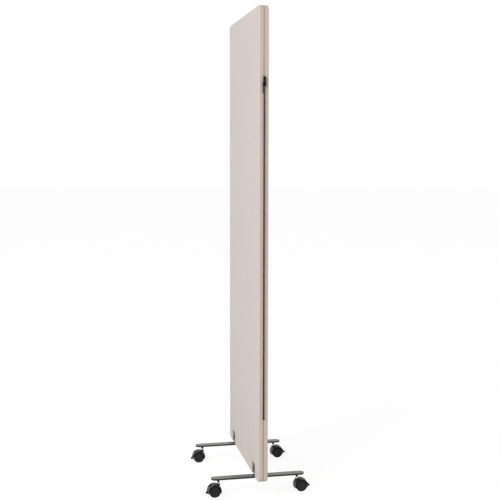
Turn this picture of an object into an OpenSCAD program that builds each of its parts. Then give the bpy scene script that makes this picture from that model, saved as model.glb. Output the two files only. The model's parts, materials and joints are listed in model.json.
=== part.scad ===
// Rolling partition: a felt acoustic panel on two flat steel feet with four braked twin-wheel
// casters. A separating zip stands out of each side edge, so that panels join side by side.
// X runs along the panel's width, Y through its thickness, Z up. The front face looks towards -Y.
// The origin is on the floor, under the middle of the panel.

/* [Panel] */
// Width of the panel
panel_w = 600; // [480:5:900]
// Height of the panel alone, without its feet
panel_h = 1615; // [1300:5:1900]
// Thickness of the closed panel
panel_t = 32; // [29:0.5:40]
// Radius of the panel's four corners
corner_r = 22; // [12:1:40]
// Rounding of the felt's outer edges
edge_r = 3; // [1:0.5:3.5]
// Thickness of each felt skin
skin_t = 4; // [3:0.25:5]
// Thickness of the felt rim that closes each shell's edge
rim_t = 6; // [5:0.5:8]

/* [Frame] */
// Wall thickness of the frame tubes
tube_wall = 1.2; // [1:0.1:2]
// Length of the tapped insert in each rail end
insert_l = 16; // [12:1:30]
// Shank diameter of the frame screws
frame_screw_d = 5; // [4:0.5:6]
// Height of the middle rail's centre above the panel's lower edge
mid_rail_h = 807; // [400:1:1100]
// Width of the strips that bond the felt to the frame
bond_w = 12; // [6:1:16]

/* [Feet] */
// Length of each foot bar
foot_l = 333; // [300:1:450]
// Width of each foot bar
foot_w = 32; // [28:1:40]
// Thickness of each foot bar
foot_t = 6; // [4:0.5:8]
// Distance of each foot bar's centre from the panel's side edge
foot_inset = 95; // [75:1:150]
// Width of the notch in the felt above each foot bar
notch_w = 52; // [46:1:70]
// Height of the notch
notch_h = 47; // [40:1:70]
// Radius of the notch's upper corners
notch_r = 8; // [3:0.5:12]
// Sheet thickness of the brackets that stand on the foot bars
bracket_t = 2; // [1.5:0.25:3]
// Shank diameter of the bolts that hold the frame in the brackets
bolt_d = 6; // [5:0.5:8]
// Shank diameter of the screws that hold the brackets on the bars
bar_screw_d = 5; // [4:0.5:6]

/* [Casters] */
// Height from the floor to the underside of the foot bars
caster_h = 60; // [58:0.5:75]
// Diameter of the wheels
wheel_d = 40; // [38:0.5:44]
// Width of each wheel
wheel_w = 14; // [12:0.5:18]
// Thickness of the hood's web between the two wheels
web_t = 8; // [7.5:0.25:10]
// Wall thickness of the hood
hood_wall = 2; // [1.5:0.25:3]
// How far the hood's crown stands above its sides
crown_rise = 2; // [1.6:0.2:6]
// Distance from the stem's axis to the axle
trail = 14; // [12:0.5:16]
// Diameter of the axle
axle_d = 6; // [4:0.5:7]
// Diameter of the stem in the hood
neck_d = 5.8; // [5:0.1:6]
// Thread diameter of the stem in the foot bar
thread_d = 8; // [7:0.5:10]
// Distance from the stem's axis to the end of the foot bar
stem_inset = 26; // [20:1:60]
// Width of the brake lever
lever_w = 15; // [10:0.5:17]
// Thickness of the brake lever
lever_t = 2; // [1.5:0.1:2.2]
// How far the tip of a free brake lever reaches out from the axle
lever_reach = 35; // [30:0.2:40]
// Swivel of the front left caster from straight out
front_left_swivel = -4; // [-30:1:30]
// Swivel of the front right caster from straight out
front_right_swivel = 0; // [-30:1:30]
// Swivel of the rear left caster from straight out
rear_left_swivel = 2; // [-30:1:30]
// Swivel of the rear right caster from straight out
rear_right_swivel = 2; // [-30:1:30]
// Angle by which the front left brake lever is pressed
front_left_brake = 10; // [0:1:10]
// Angle by which the front right brake lever is pressed
front_right_brake = 10; // [0:1:10]
// Angle by which the rear left brake lever is pressed
rear_left_brake = 0; // [0:1:10]
// Angle by which the rear right brake lever is pressed
rear_right_brake = 0; // [0:1:10]

/* [Zips] */
// Length of each zip, from its box or pin to its end stop
zip_l = 1157; // [600:1:1250]
// Distance from the panel's upper edge to the top of the zips
zip_drop = 234; // [60:1:300]
// How far the chain stands out of the panel's side edge
zip_proud = 6; // [5:0.5:10]
// Thickness of the zip tape, which is also the width of the seam between the shells
tape_t = 1; // [0.6:0.1:1.2]
// Thickness of the zip chain
chain_t = 4.4; // [2.4:0.1:5]
// Width of the zip chain
chain_w = 3.2; // [2.6:0.1:3.6]
// Length of the slider
slider_l = 18; // [15:0.5:24]
// Plate thickness of the slider
slider_plate = 1.4; // [1:0.1:2]
// Length of the retaining box
box_l = 14; // [10:0.5:20]
// Length of the pull tab below its pivot
pull_l = 32; // [20:1:45]
// Width of the pull tab
pull_w = 8; // [7:0.5:12]
// Thickness of the pull tab
pull_t = 1.5; // [1:0.1:2]

/* [Hidden] */
$fn = 64;

// A cut runs this far past the face that it opens
past = 1;
// Colours, as the photograph shows them
felt_colour = "#d2c9c4";
bar_colour = "#77746f";
dark_colour = "#2a2725";
chrome_colour = "#d8d8d8";
plastic_colour = "#1e1d1c";
wheel_colour = "#333231";
zip_colour = "#2b1b16";
core_colour = "#e9e6df";
tube_colour = "#9a9da0";
bond_colour = "#f2f2ee";

// Panel
half_w = panel_w / 2;
half_t = panel_t / 2;
shell_d = half_t - tape_t / 2;
panel_z = caster_h + foot_t;
panel_top = panel_z + panel_h;
cavity_r = max(corner_r - rim_t, 0.5);

// Frame: the tubes fill the brackets, and the frame's square corners clear the round ones
frame_clear = 0.3;
frame_gap = (1 - sqrt(0.5)) * cavity_r + frame_clear;
tube_d = panel_t - 2 * (skin_t + bracket_t);
stile_x = half_w - rim_t - frame_gap;
rail_x = stile_x - tube_d;
bottom_rail_z = panel_z + rim_t + frame_gap;
middle_rail_z = panel_z + mid_rail_h - tube_d / 2;
top_rail_z = panel_top - rim_t - frame_gap - tube_d;
rail_zs = [bottom_rail_z, middle_rail_z, top_rail_z];
core_clear = 1;
frame_head_r = frame_screw_d / 2 + 2;
frame_head_h = 3;
screw_clear = 0.2;

// Feet
sides = [-1, 1];
foot_x = half_w - foot_inset;
foot_ease = min(1.2, foot_t / 3);
bracket_gap = 1;
bracket_w = notch_w - 2 * bracket_gap;
bracket_lap = 6;
bracket_top = panel_z + notch_h + bracket_lap;
bracket_y = tube_d / 2 + bracket_t;
bolt_z = bottom_rail_z + tube_d / 2;
bolt_dx = bracket_w / 2 - bolt_d / 2 - 8;
bolt_head_r = bolt_d / 2 + 2.2;
bolt_head_h = min(3.2, skin_t - 0.4);
bar_screw_dx = foot_w / 4;
bar_head_r = bar_screw_d / 2 + 2;
bar_head_h = 2.4;

// Casters: the axle lies at u = trail, z = axle_z in a frame that has the stem's axis at u = 0
axle_z = wheel_d / 2;
wheel_r = wheel_d / 2;
wheel_gap = 0.3;
wheel_x = web_t / 2 + wheel_gap;
hood_half_w = wheel_x + wheel_w + 0.7;
hood_clear = 1.2;
hood_side_r = wheel_r + hood_clear + hood_wall;
crown_r = hood_side_r + crown_rise;
dome_r = (hood_half_w * hood_half_w + crown_rise * crown_rise) / (2 * crown_rise);
hood_low = 18;
web_low = crown_r * sin(hood_low);
run_fit = 0.05;
neck_r = neck_d / 2;
boss_r = neck_r + 3.3;
boss_z = axle_z + crown_r + 0.2;
boss_h = boss_z - axle_z - wheel_r + 0.8;
stem_bottom = axle_z + 6.3;
flange_r = boss_r;
flange_t = 2.3;
flange_gap = 0.3;
collar_share = 0.7;
collar_h = collar_share * (caster_h - boss_z);
collar_top_r = thread_d / 2 + 0.9;
collar_low_r = neck_r + 0.6;
thread_in = 3;
thread_cover = 1;
thread_up = foot_t - thread_cover;
face_t = 1.2;
hub_r = axle_d / 2 + 2.4;
rim_in = 2.8;

// Brake lever: an arc over the tyres that runs on as a straight blade, hung from two trunnions in
// a slot of the hood. The slot runs on by some degrees past the lever and past the hood's edge
shoe_gap = 2;
shoe_r = wheel_r + shoe_gap;
lever_r = shoe_r + lever_t;
lever_low = 39;
lever_high = 64;
lip_out = 1;
lip_l = 4;
blade_tuck = 0.4;
slot_play = 4;
slot_past = 12;
pivot_a = 58;
pivot_r = shoe_r + lever_t / 2;
trunnion_r = 1.3;
trunnion_play = 0.5;
ear_r = trunnion_r + 1.1;
ear_t = 2;
lever_gap = 0.7;
ear_x = lever_w / 2 + lever_gap;

// Zips
zip_top = panel_top - zip_drop;
zip_bottom = zip_top - zip_l;
chain_x = half_w + zip_proud;
tape_in = rim_t - 0.5;
tape_out = zip_proud - 1.2;
stop_l = 5;
box_w = 9;
box_t = chain_t + 3.6;
slider_gap = 0.4;
slider_top = zip_top - box_l - 0.5;
slider_mid = slider_top - slider_l / 2;
divider_w = 2.6;
divider_l = 5;
slider_x = chain_x + slider_gap + divider_w / 2;
slider_flange = 1.2;
slider_half_w = divider_w / 2 + 2 * slider_gap + chain_w + slider_flange;
slider_in_y = chain_t / 2 + slider_gap;
slider_y = slider_in_y + slider_plate;
tape_slot = tape_t + 0.8;
pull_bar_r = 0.8;
pull_play = 0.5;
bridge_w = 3;
bridge_t = 1.4;
pull_y = -(slider_y + pull_play + pull_bar_r);
bridge_y = pull_y - pull_bar_r - pull_play;
bridge_in = pull_bar_r + 1.4;
bridge_half_l = bridge_in + bridge_t;
window_w = bridge_w + 0.8;
window_l = bridge_half_l + 1.6;
pin_r = 1.6;
socket_r = pin_r + 0.3;

// Panel outline in the XY plane, inset all round, with its lower edge on the X axis
module panel_outline(inset) {
    r = max(corner_r - inset, 0.5);
    w = panel_w - 2 * inset;
    h = panel_h - 2 * inset;
    translate([-w / 2 + r, inset]) square([w - 2 * r, h]);
    translate([-w / 2, inset + r]) square([w, h - 2 * r]);
    for (x = sides, y = [inset + r, panel_h - inset - r])
        translate([x * (w / 2 - r), y]) circle(r);
}

// Quarter disc that rounds an outer edge, with its square corner at the origin
module edge_quarter() {
    intersection() {
        circle(edge_r);
        square(edge_r);
    }
}

// Rounding along the four sides and round the four corners of the felt's outer face
module edge_rounding() {
    run_w = panel_w - 2 * corner_r;
    run_h = panel_h - 2 * corner_r;
    arc_r = corner_r - edge_r;
    for (s = sides) {
        translate([s * (half_w - edge_r), corner_r, edge_r])
            rotate([-90, 0, 0]) mirror([s < 0 ? 1 : 0, 0, 0])
                linear_extrude(run_h) edge_quarter();
        translate([-run_w / 2, panel_h / 2 + s * (panel_h / 2 - edge_r), edge_r])
            rotate([90, 0, 90]) mirror([s < 0 ? 1 : 0, 0, 0]) mirror([0, 1, 0])
                linear_extrude(run_w) edge_quarter();
        for (t = sides)
            translate([s * run_w / 2, panel_h / 2 + t * run_h / 2, edge_r])
                mirror([s < 0 ? 1 : 0, 0, 0]) mirror([0, t < 0 ? 1 : 0, 0])
                    rotate_extrude(angle = 90)
                        translate([arc_r, 0]) mirror([0, 1]) edge_quarter();
    }
}

// Notches in the lower edge, through the whole shell
module notch_cuts() {
    for (s = sides)
        translate([s * foot_x, 0, -past]) linear_extrude(panel_t) {
            translate([-notch_w / 2, -past]) square([notch_w, notch_h - notch_r + past]);
            translate([-notch_w / 2 + notch_r, 0]) square([notch_w - 2 * notch_r, notch_h]);
            for (x = sides)
                translate([x * (notch_w / 2 - notch_r), notch_h - notch_r]) circle(notch_r);
        }
}

// One felt shell: a moulded tray that lies on its outer face
module felt_tray() {
    difference() {
        union() {
            linear_extrude(edge_r) panel_outline(edge_r);
            translate([0, 0, edge_r]) linear_extrude(shell_d - edge_r) panel_outline(0);
            edge_rounding();
        }
        translate([0, 0, skin_t]) linear_extrude(shell_d) panel_outline(rim_t);
        notch_cuts();
    }
}

module rear_felt_shell() {
    color(felt_colour) translate([0, half_t, panel_z]) rotate([90, 0, 0]) felt_tray();
}

module front_felt_shell() {
    color(felt_colour) mirror([0, 1, 0])
        translate([0, half_t, panel_z]) rotate([90, 0, 0]) felt_tray();
}

// Square frame tube that runs up from the origin
module frame_tube(length) {
    linear_extrude(length) difference() {
        square(tube_d, center = true);
        square(tube_d - 2 * tube_wall, center = true);
    }
}

// Stile at the given side, with a hole for each frame screw and a wider one for its head
module stile(side) {
    color(tube_colour) difference() {
        translate([side * (stile_x - tube_d / 2), 0, bottom_rail_z])
            frame_tube(top_rail_z + tube_d - bottom_rail_z);
        for (z = rail_zs)
            translate([side * (rail_x - past), 0, z + tube_d / 2]) rotate([0, side * 90, 0]) {
                cylinder(r = frame_screw_d / 2 + screw_clear, h = tube_d);
                translate([0, 0, past + tube_d / 2])
                    cylinder(r = frame_head_r + 2 * screw_clear, h = tube_d);
            }
    }
}

// Rail between the stiles with its lower face at the given height
module rail(z) {
    translate([-rail_x, 0, z + tube_d / 2]) rotate([0, 90, 0]) frame_tube(2 * rail_x);
}

module top_rail() {
    color(tube_colour) rail(top_rail_z);
}

module middle_rail() {
    color(tube_colour) rail(middle_rail_z);
}

// Bottom rail, drilled for the bracket bolts
module bottom_rail() {
    color(tube_colour) difference() {
        rail(bottom_rail_z);
        bolt_holes();
    }
}

// Tapped insert in each rail end
module rail_inserts() {
    side_l = tube_d - 2 * tube_wall;
    color(dark_colour) for (s = sides, z = rail_zs)
        translate([s * (rail_x - insert_l / 2), 0, z + tube_d / 2]) difference() {
            cube([insert_l, side_l, side_l], center = true);
            rotate([0, 90, 0])
                cylinder(r = frame_screw_d / 2, h = insert_l + 2 * past, center = true);
        }
}

// Screw through each stile's inner wall into a rail's insert
module frame_screws() {
    color(chrome_colour) for (s = sides, z = rail_zs)
        translate([s * (rail_x + tube_wall), 0, z + tube_d / 2]) rotate([0, s * 90, 0]) {
            cylinder(r = frame_head_r, h = frame_head_h);
            translate([0, 0, -tube_wall - insert_l + 2])
                cylinder(r = frame_screw_d / 2, h = insert_l + tube_wall - 2);
        }
}

// Sound-absorbing pad between two heights, which fills the space from skin to skin
module core(low, high) {
    depth = panel_t - 2 * skin_t;
    translate([-rail_x + core_clear, -depth / 2, low + core_clear])
        cube([2 * (rail_x - core_clear), depth, high - low - 2 * core_clear]);
}

module upper_core() {
    color(core_colour) core(middle_rail_z + tube_d, top_rail_z);
}

// The lower pad is recessed round the brackets' cheeks
module lower_core() {
    recess_w = bracket_w + 2 * core_clear;
    color(core_colour) difference() {
        core(bottom_rail_z + tube_d, middle_rail_z);
        for (s = sides, t = sides)
            translate([s * foot_x - recess_w / 2, t < 0 ? -half_t : tube_d / 2 - core_clear, 0])
                cube([recess_w, half_t - tube_d / 2 + core_clear, bracket_top + core_clear]);
    }
}

// Strips that bond one felt skin to the frame, on the side given by the sign
module bonding_strips(side) {
    stile_l = top_rail_z + tube_d - bottom_rail_z;
    rail_l = 2 * (rail_x - core_clear);
    low_l = 2 * (foot_x - bracket_w / 2 - core_clear);
    mid_y = side * (tube_d / 2 + bracket_t / 2);
    color(bond_colour) {
        for (s = sides)
            translate([s * (stile_x - tube_d / 2), mid_y, bottom_rail_z + stile_l / 2])
                cube([bond_w, bracket_t, stile_l], center = true);
        for (z = [middle_rail_z, top_rail_z])
            translate([0, mid_y, z + tube_d / 2])
                cube([rail_l, bracket_t, bond_w], center = true);
        translate([0, mid_y, bolt_z]) cube([low_l, bracket_t, bond_w], center = true);
    }
}

module front_bonding_strips() {
    bonding_strips(-1);
}

module rear_bonding_strips() {
    bonding_strips(1);
}

// Half of the foot bar's section, with rounded edges, for extruding and turning
module bar_half_section() {
    half = foot_w / 2;
    square([half - foot_ease, foot_t]);
    translate([0, foot_ease]) square([half, foot_t - 2 * foot_ease]);
    for (z = [foot_ease, foot_t - foot_ease]) translate([half - foot_ease, z]) circle(foot_ease);
}

// Flat steel foot bar with round ends, tapped from below for two stems and drilled for the
// bracket's screws
module foot_bar(side) {
    run = foot_l - foot_w;
    color(bar_colour) translate([side * foot_x, 0, caster_h]) difference() {
        union() {
            translate([0, run / 2, 0]) rotate([90, 0, 0]) linear_extrude(run) {
                bar_half_section();
                mirror([1, 0]) bar_half_section();
            }
            for (s = sides)
                translate([0, s * run / 2, 0]) rotate_extrude() bar_half_section();
        }
        for (s = sides)
            translate([0, s * (foot_l / 2 - stem_inset), -past])
                cylinder(r = thread_d / 2, h = past + thread_up);
        for (s = sides) translate([s * bar_screw_dx, 0, 0]) {
            cylinder(r1 = bar_head_r, r2 = bar_screw_d / 2, h = bar_head_h);
            cylinder(r = bar_screw_d / 2, h = foot_t + past);
        }
    }
}

// Holes for the bolts that clamp the bottom rail in the two brackets
module bolt_holes() {
    for (s = sides, t = sides)
        translate([s * foot_x + t * bolt_dx, 0, bolt_z]) rotate([90, 0, 0])
            cylinder(r = bolt_d / 2 + screw_clear, h = panel_t, center = true);
}

// Bent steel saddle that stands on a foot bar and takes the bottom rail between its cheeks
module foot_bracket(side) {
    color(dark_colour) difference() {
        translate([side * foot_x, 0, panel_z]) difference() {
            translate([-bracket_w / 2, -bracket_y, 0])
                cube([bracket_w, 2 * bracket_y, bracket_top - panel_z]);
            translate([-bracket_w / 2 - past, -tube_d / 2, bracket_t])
                cube([bracket_w + 2 * past, tube_d, bracket_top - panel_z]);
            for (s = sides)
                translate([s * bar_screw_dx, 0, -past])
                    cylinder(r = bar_screw_d / 2, h = bracket_t + 2 * past);
        }
        bolt_holes();
    }
}

// Button-head bolts, two through each bracket, with their heads at the front
module bracket_bolts() {
    color(dark_colour) for (s = sides, t = sides)
        translate([s * foot_x + t * bolt_dx, -bracket_y, bolt_z]) rotate([-90, 0, 0]) {
            cylinder(r = bolt_d / 2, h = 2 * bracket_y + bolt_head_h);
            translate([0, 0, -bolt_head_h])
                cylinder(r1 = bolt_head_r - 1, r2 = bolt_head_r, h = bolt_head_h);
        }
}

// Hexagon nuts on the bolts' rear ends
module bracket_nuts() {
    color(dark_colour) for (s = sides, t = sides)
        translate([s * foot_x + t * bolt_dx, bracket_y, bolt_z]) rotate([-90, 0, 0])
            difference() {
                cylinder(r = bolt_head_r + 0.4, h = bolt_head_h, $fn = 6);
                translate([0, 0, -past]) cylinder(r = bolt_d / 2, h = bolt_head_h + 2 * past);
            }
}

// Countersunk screws from below each foot bar into its bracket
module bar_screws() {
    color(dark_colour) for (s = sides, t = sides)
        translate([s * foot_x + t * bar_screw_dx, 0, caster_h]) {
            cylinder(r1 = bar_head_r, r2 = bar_screw_d / 2, h = bar_head_h);
            cylinder(r = bar_screw_d / 2, h = foot_t + bracket_t + 2);
        }
}

// Zip tape at the given side: it is held in the seam and stands out of the panel's edge
module zip_tape(side) {
    low = half_w - tape_in;
    high = half_w + tape_out;
    color(zip_colour)
        translate([side * (low + high) / 2, 0, zip_bottom + zip_l / 2])
            cube([high - low, tape_t, zip_l], center = true);
}

// Section of the chain as it wraps the edge of the tape
module chain_section(side) {
    translate([side * (chain_x - chain_w / 2), 0]) difference() {
        square([chain_w, chain_t], center = true);
        translate([-side * (zip_proud - tape_out), 0]) square([chain_w, tape_t], center = true);
    }
}

// Zip chain between the end stop and the box or pin
module zip_chain(side) {
    color(zip_colour) translate([0, 0, zip_bottom + stop_l])
        linear_extrude(zip_l - stop_l - box_l) chain_section(side);
}

// End stops that grip the lower end of both tapes
module zip_end_stops() {
    color(dark_colour) for (s = sides) translate([0, 0, zip_bottom])
        linear_extrude(stop_l) translate([s * (chain_x - chain_w / 2), 0]) difference() {
            square([chain_w + 0.8, chain_t + 0.8], center = true);
            translate([-s * (zip_proud - tape_out + 0.4), 0])
                square([chain_w + 0.8, tape_t], center = true);
        }
}

// Retaining box at the top of the right zip, with the socket for the other zip's pin
module right_zip_box() {
    box_x = chain_x - chain_w - 0.6;
    color(dark_colour) translate([0, 0, zip_top - box_l]) difference() {
        translate([box_x, -box_t / 2, 0]) cube([box_w, box_t, box_l]);
        translate([half_w, -tape_t / 2, -past]) cube([tape_out, tape_t, box_l + 2 * past]);
        translate([box_x + box_w - socket_r - 1, 0, -past])
            cylinder(r = socket_r, h = box_l - 2 + past);
    }
}

// Insertion pin at the top of the left zip
module left_zip_pin() {
    pin_x = chain_x - chain_w / 2;
    color(dark_colour) translate([0, 0, zip_top - box_l]) difference() {
        translate([-pin_x, 0, 0]) union() {
            cylinder(r = pin_r, h = box_l);
            translate([0, -tape_t, 0]) cube([chain_w / 2 + 1, 2 * tape_t, box_l]);
        }
        translate([-half_w - tape_out, -tape_t / 2, -past])
            cube([tape_out, tape_t, box_l + 2 * past]);
    }
}

// Zip slider: two plates with inturned flanges, the bridge for the pull tab, and a divider at
// the end that takes in both chains when the slider is drawn away from the box
module zip_slider() {
    color(dark_colour) translate([slider_x, 0, slider_mid]) {
        for (s = sides) translate([0, s * (slider_in_y + slider_plate / 2), 0])
            cube([2 * slider_half_w, slider_plate, slider_l], center = true);
        for (s = sides, t = sides)
            translate([s * (slider_half_w - slider_flange / 2),
                       t * (slider_y + tape_slot / 2) / 2, 0])
                cube([slider_flange, slider_y - tape_slot / 2, slider_l], center = true);
        translate([0, 0, (divider_l - slider_l) / 2])
            cube([divider_w, 2 * slider_y, divider_l], center = true);
        translate([-bridge_w / 2, bridge_y - bridge_t, -bridge_half_l])
            cube([bridge_w, bridge_t, 2 * bridge_half_l]);
        for (s = sides)
            translate([-bridge_w / 2, bridge_y - bridge_t, s > 0 ? bridge_in : -bridge_half_l])
                cube([bridge_w, bridge_t - bridge_y - slider_in_y, bridge_t]);
    }
}

// Pull tab: a plate that hangs from a round bar under the slider's bridge
module zip_pull_tab() {
    color(bar_colour) translate([slider_x, pull_y, slider_mid]) {
        rotate([0, 90, 0]) cylinder(r = pull_bar_r, h = pull_w, center = true);
        rotate([90, 0, 0]) linear_extrude(pull_t, center = true) difference() {
            union() {
                translate([-pull_w / 2, -pull_l + pull_w / 2])
                    square([pull_w, pull_l - pull_w / 2]);
                translate([0, -pull_l + pull_w / 2]) circle(pull_w / 2);
            }
            translate([-window_w / 2, -window_l]) square([window_w, window_l + past]);
            translate([0, -pull_l + pull_w / 2]) circle(pull_w / 4);
        }
    }
}

// Places of the casters: [side, end, swivel, brake]. A side of 1 is right, an end of 1 is rear
front_left = [-1, -1, front_left_swivel, front_left_brake];
front_right = [1, -1, front_right_swivel, front_right_brake];
rear_left = [-1, 1, rear_left_swivel, rear_left_brake];
rear_right = [1, 1, rear_right_swivel, rear_right_brake];

// Puts a caster's piece on its stem axis, with the trail pointing out from the panel
module at_stem(place) {
    translate([place[0] * foot_x, place[1] * (foot_l / 2 - stem_inset), 0])
        rotate([0, 0, place[2] + (place[1] < 0 ? 180 : 0)]) children();
}

// Turns a piece drawn round the Z axis onto the axle, with X pointing out along the trail
module on_axle() {
    translate([0, trail, axle_z]) rotate([90, 0, 90]) children();
}

// Threaded stem with the flange that rests on the hood
module stem(place) {
    color(chrome_colour) at_stem(place) {
        translate([0, 0, stem_bottom]) cylinder(r = neck_r, h = caster_h - thread_in - stem_bottom);
        translate([0, 0, caster_h - thread_in])
            cylinder(r = thread_d / 2, h = thread_in + thread_up);
        translate([0, 0, boss_z + flange_gap]) cylinder(r = flange_r, h = flange_t);
    }
}

// Tapered collar between the foot bar and the stem's flange
module collar(place) {
    color(plastic_colour) at_stem(place) translate([0, 0, caster_h - collar_h]) difference() {
        cylinder(r1 = collar_low_r, r2 = collar_top_r, h = collar_h);
        translate([0, 0, -past]) cylinder(r = neck_r, h = collar_h + 2 * past);
        translate([0, 0, collar_h - thread_in]) cylinder(r = thread_d / 2, h = thread_in + past);
    }
}

// Section of the hood's dome, with the distance from the axle along X
module dome_section() {
    intersection() {
        translate([crown_r - dome_r, 0]) difference() {
            circle(dome_r, $fn = 128);
            circle(dome_r - hood_wall, $fn = 128);
        }
        translate([wheel_r / 2, -hood_half_w]) square([crown_r, 2 * hood_half_w]);
    }
}

// Sector between two angles, out to the given radius
module sector(from, to, r) {
    steps = 8;
    polygon(concat([[0, 0]], [for (i = [0:steps])
        let (a = from + (to - from) * i / steps) [r * cos(a), r * sin(a)]]));
}

// Ring between two radii and two angles
module ring_sector(r_in, r_out, from, to) {
    intersection() {
        difference() {
            circle(r_out);
            circle(r_in);
        }
        sector(from, to, 2 * r_out);
    }
}

// Ears in the hood that hold the brake lever's trunnions
module lever_ears() {
    for (s = sides) translate([0, 0, s * (ear_x + ear_t / 2)])
        linear_extrude(ear_t, center = true) intersection() {
            circle(crown_r - hood_wall * 0.8);
            rotate(pivot_a) translate([pivot_r, 0]) union() {
                circle(ear_r);
                translate([0, -ear_r]) square([crown_r, 2 * ear_r]);
            }
        }
}

// Outline of the web between the wheels, down to the hood's lower edge and round the axle
module hood_web() {
    circle(hub_r);
    intersection() {
        circle(crown_r - hood_wall / 2);
        translate([-crown_r, -web_low]) square(2 * crown_r);
    }
}

// Hood over both wheels, with the web between them and the boss for the stem
module hood(place) {
    lever_room = 2 * (lever_w / 2 + lever_gap);
    color(plastic_colour) at_stem(place) difference() {
        union() {
            on_axle() difference() {
                union() {
                    rotate([0, 0, -hood_low])
                        rotate_extrude(angle = 180 + 2 * hood_low) dome_section();
                    linear_extrude(web_t, center = true) hood_web();
                }
                linear_extrude(lever_room, center = true)
                    ring_sector(wheel_r - lever_gap, crown_r + 2 * past,
                                -hood_low - slot_past, lever_high + slot_play);
                cylinder(r = axle_d / 2, h = web_t + 2 * past, center = true);
            }
            on_axle() lever_ears();
            translate([0, 0, boss_z - boss_h]) cylinder(r = boss_r, h = boss_h);
        }
        translate([0, 0, stem_bottom - wheel_gap]) cylinder(r = neck_r + run_fit, h = boss_z);
        on_axle() rotate(pivot_a) translate([pivot_r, 0, 0])
            cylinder(r = trunnion_r + run_fit, h = 2 * (ear_x + ear_t), center = true);
    }
}

// Steel pin through the hood's web that carries both wheels
module axle(place) {
    color(chrome_colour) at_stem(place) on_axle()
        cylinder(r = axle_d / 2, h = 2 * (wheel_x + wheel_w - 2 * face_t - 0.6), center = true);
}

// Wheel with a hollow inner side and a closed, slightly sunk outer face
module wheel_body() {
    edge = 1.2;
    face_in = wheel_w - 0.8;
    bore_r = axle_d / 2 + run_fit;
    rotate_extrude() polygon([
        [bore_r, 0], [hub_r, 0], [hub_r, face_in - face_t - 1], [wheel_r - rim_in, face_in - face_t - 1],
        [wheel_r - rim_in, edge / 2], [wheel_r - edge, 0], [wheel_r, edge],
        [wheel_r, wheel_w - edge], [wheel_r - edge, wheel_w], [wheel_r - rim_in, wheel_w],
        [wheel_r - rim_in - 0.8, face_in], [0, face_in], [0, face_in - face_t],
        [bore_r, face_in - face_t]
    ]);
}

// Wheel on the side of its caster that the sign gives
module wheel(place, side) {
    color(wheel_colour) at_stem(place) on_axle()
        mirror([0, 0, side < 0 ? 1 : 0]) translate([0, 0, wheel_x]) wheel_body();
}

// Blade of the brake lever: it is tucked into the arc's lower end and runs straight on from there,
// to a tip that bends out
module lever_blade() {
    length = (lever_reach - (lever_r + lip_out) * cos(lever_low)) / sin(lever_low);
    bend = length - lip_l;
    rotate(lever_low) translate([shoe_r, 0]) polygon([
        [0, 0], [blade_tuck, blade_tuck], [lever_t - blade_tuck, blade_tuck], [lever_t, 0],
        [lever_t, -bend], [lever_t + lip_out, -length], [lip_out, -length], [0, -bend]
    ]);
}

// Turns the brake lever about its trunnions, towards the tyres
module pressed(angle) {
    pivot = pivot_r * [cos(pivot_a), sin(pivot_a), 0];
    translate(pivot) rotate([0, 0, -angle]) translate(-pivot) children();
}

// Brake lever: pressing its blade pushes it onto both tyres
module brake_lever(place) {
    color(plastic_colour) at_stem(place) on_axle() pressed(place[3]) {
        linear_extrude(lever_w, center = true) {
            ring_sector(shoe_r, lever_r, lever_low, lever_high);
            lever_blade();
        }
        rotate([0, 0, pivot_a]) translate([pivot_r, 0, 0])
            cylinder(r = trunnion_r, h = 2 * (ear_x + ear_t - trunnion_play), center = true);
    }
}

front_felt_shell();
rear_felt_shell();
stile(-1);  // left_stile
stile(1);  // right_stile
top_rail();
middle_rail();
bottom_rail();
rail_inserts();
frame_screws();
upper_core();
lower_core();
front_bonding_strips();
rear_bonding_strips();
foot_bar(-1);  // left_foot_bar
foot_bar(1);  // right_foot_bar
foot_bracket(-1);  // left_foot_bracket
foot_bracket(1);  // right_foot_bracket
bracket_bolts();
bracket_nuts();
bar_screws();
zip_tape(-1);  // left_zip_tape
zip_tape(1);  // right_zip_tape
zip_chain(-1);  // left_zip_chain
zip_chain(1);  // right_zip_chain
left_zip_pin();
right_zip_box();
zip_end_stops();
zip_slider();
zip_pull_tab();
stem(front_left);  // front_left_stem
collar(front_left);  // front_left_collar
hood(front_left);  // front_left_hood
axle(front_left);  // front_left_axle
wheel(front_left, 1);  // front_left_outer_wheel
wheel(front_left, -1);  // front_left_inner_wheel
brake_lever(front_left);  // front_left_brake_lever
stem(front_right);  // front_right_stem
collar(front_right);  // front_right_collar
hood(front_right);  // front_right_hood
axle(front_right);  // front_right_axle
wheel(front_right, -1);  // front_right_outer_wheel
wheel(front_right, 1);  // front_right_inner_wheel
brake_lever(front_right);  // front_right_brake_lever
stem(rear_left);  // rear_left_stem
collar(rear_left);  // rear_left_collar
hood(rear_left);  // rear_left_hood
axle(rear_left);  // rear_left_axle
wheel(rear_left, -1);  // rear_left_outer_wheel
wheel(rear_left, 1);  // rear_left_inner_wheel
brake_lever(rear_left);  // rear_left_brake_lever
stem(rear_right);  // rear_right_stem
collar(rear_right);  // rear_right_collar
hood(rear_right);  // rear_right_hood
axle(rear_right);  // rear_right_axle
wheel(rear_right, 1);  // rear_right_outer_wheel
wheel(rear_right, -1);  // rear_right_inner_wheel
brake_lever(rear_right);  // rear_right_brake_lever
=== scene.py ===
"""Looks of a rolling felt partition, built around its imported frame.

Everything is in metres, in the frame's own axes: X along the panel's width, Y through its
thickness with the front face towards -Y, Z up from the floor.
"""

import json
import logging
import math
from dataclasses import dataclass
from enum import Enum
from typing import Any, Callable, Iterable, Sequence

import bmesh
import bpy
from mathutils import Matrix, Vector


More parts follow.
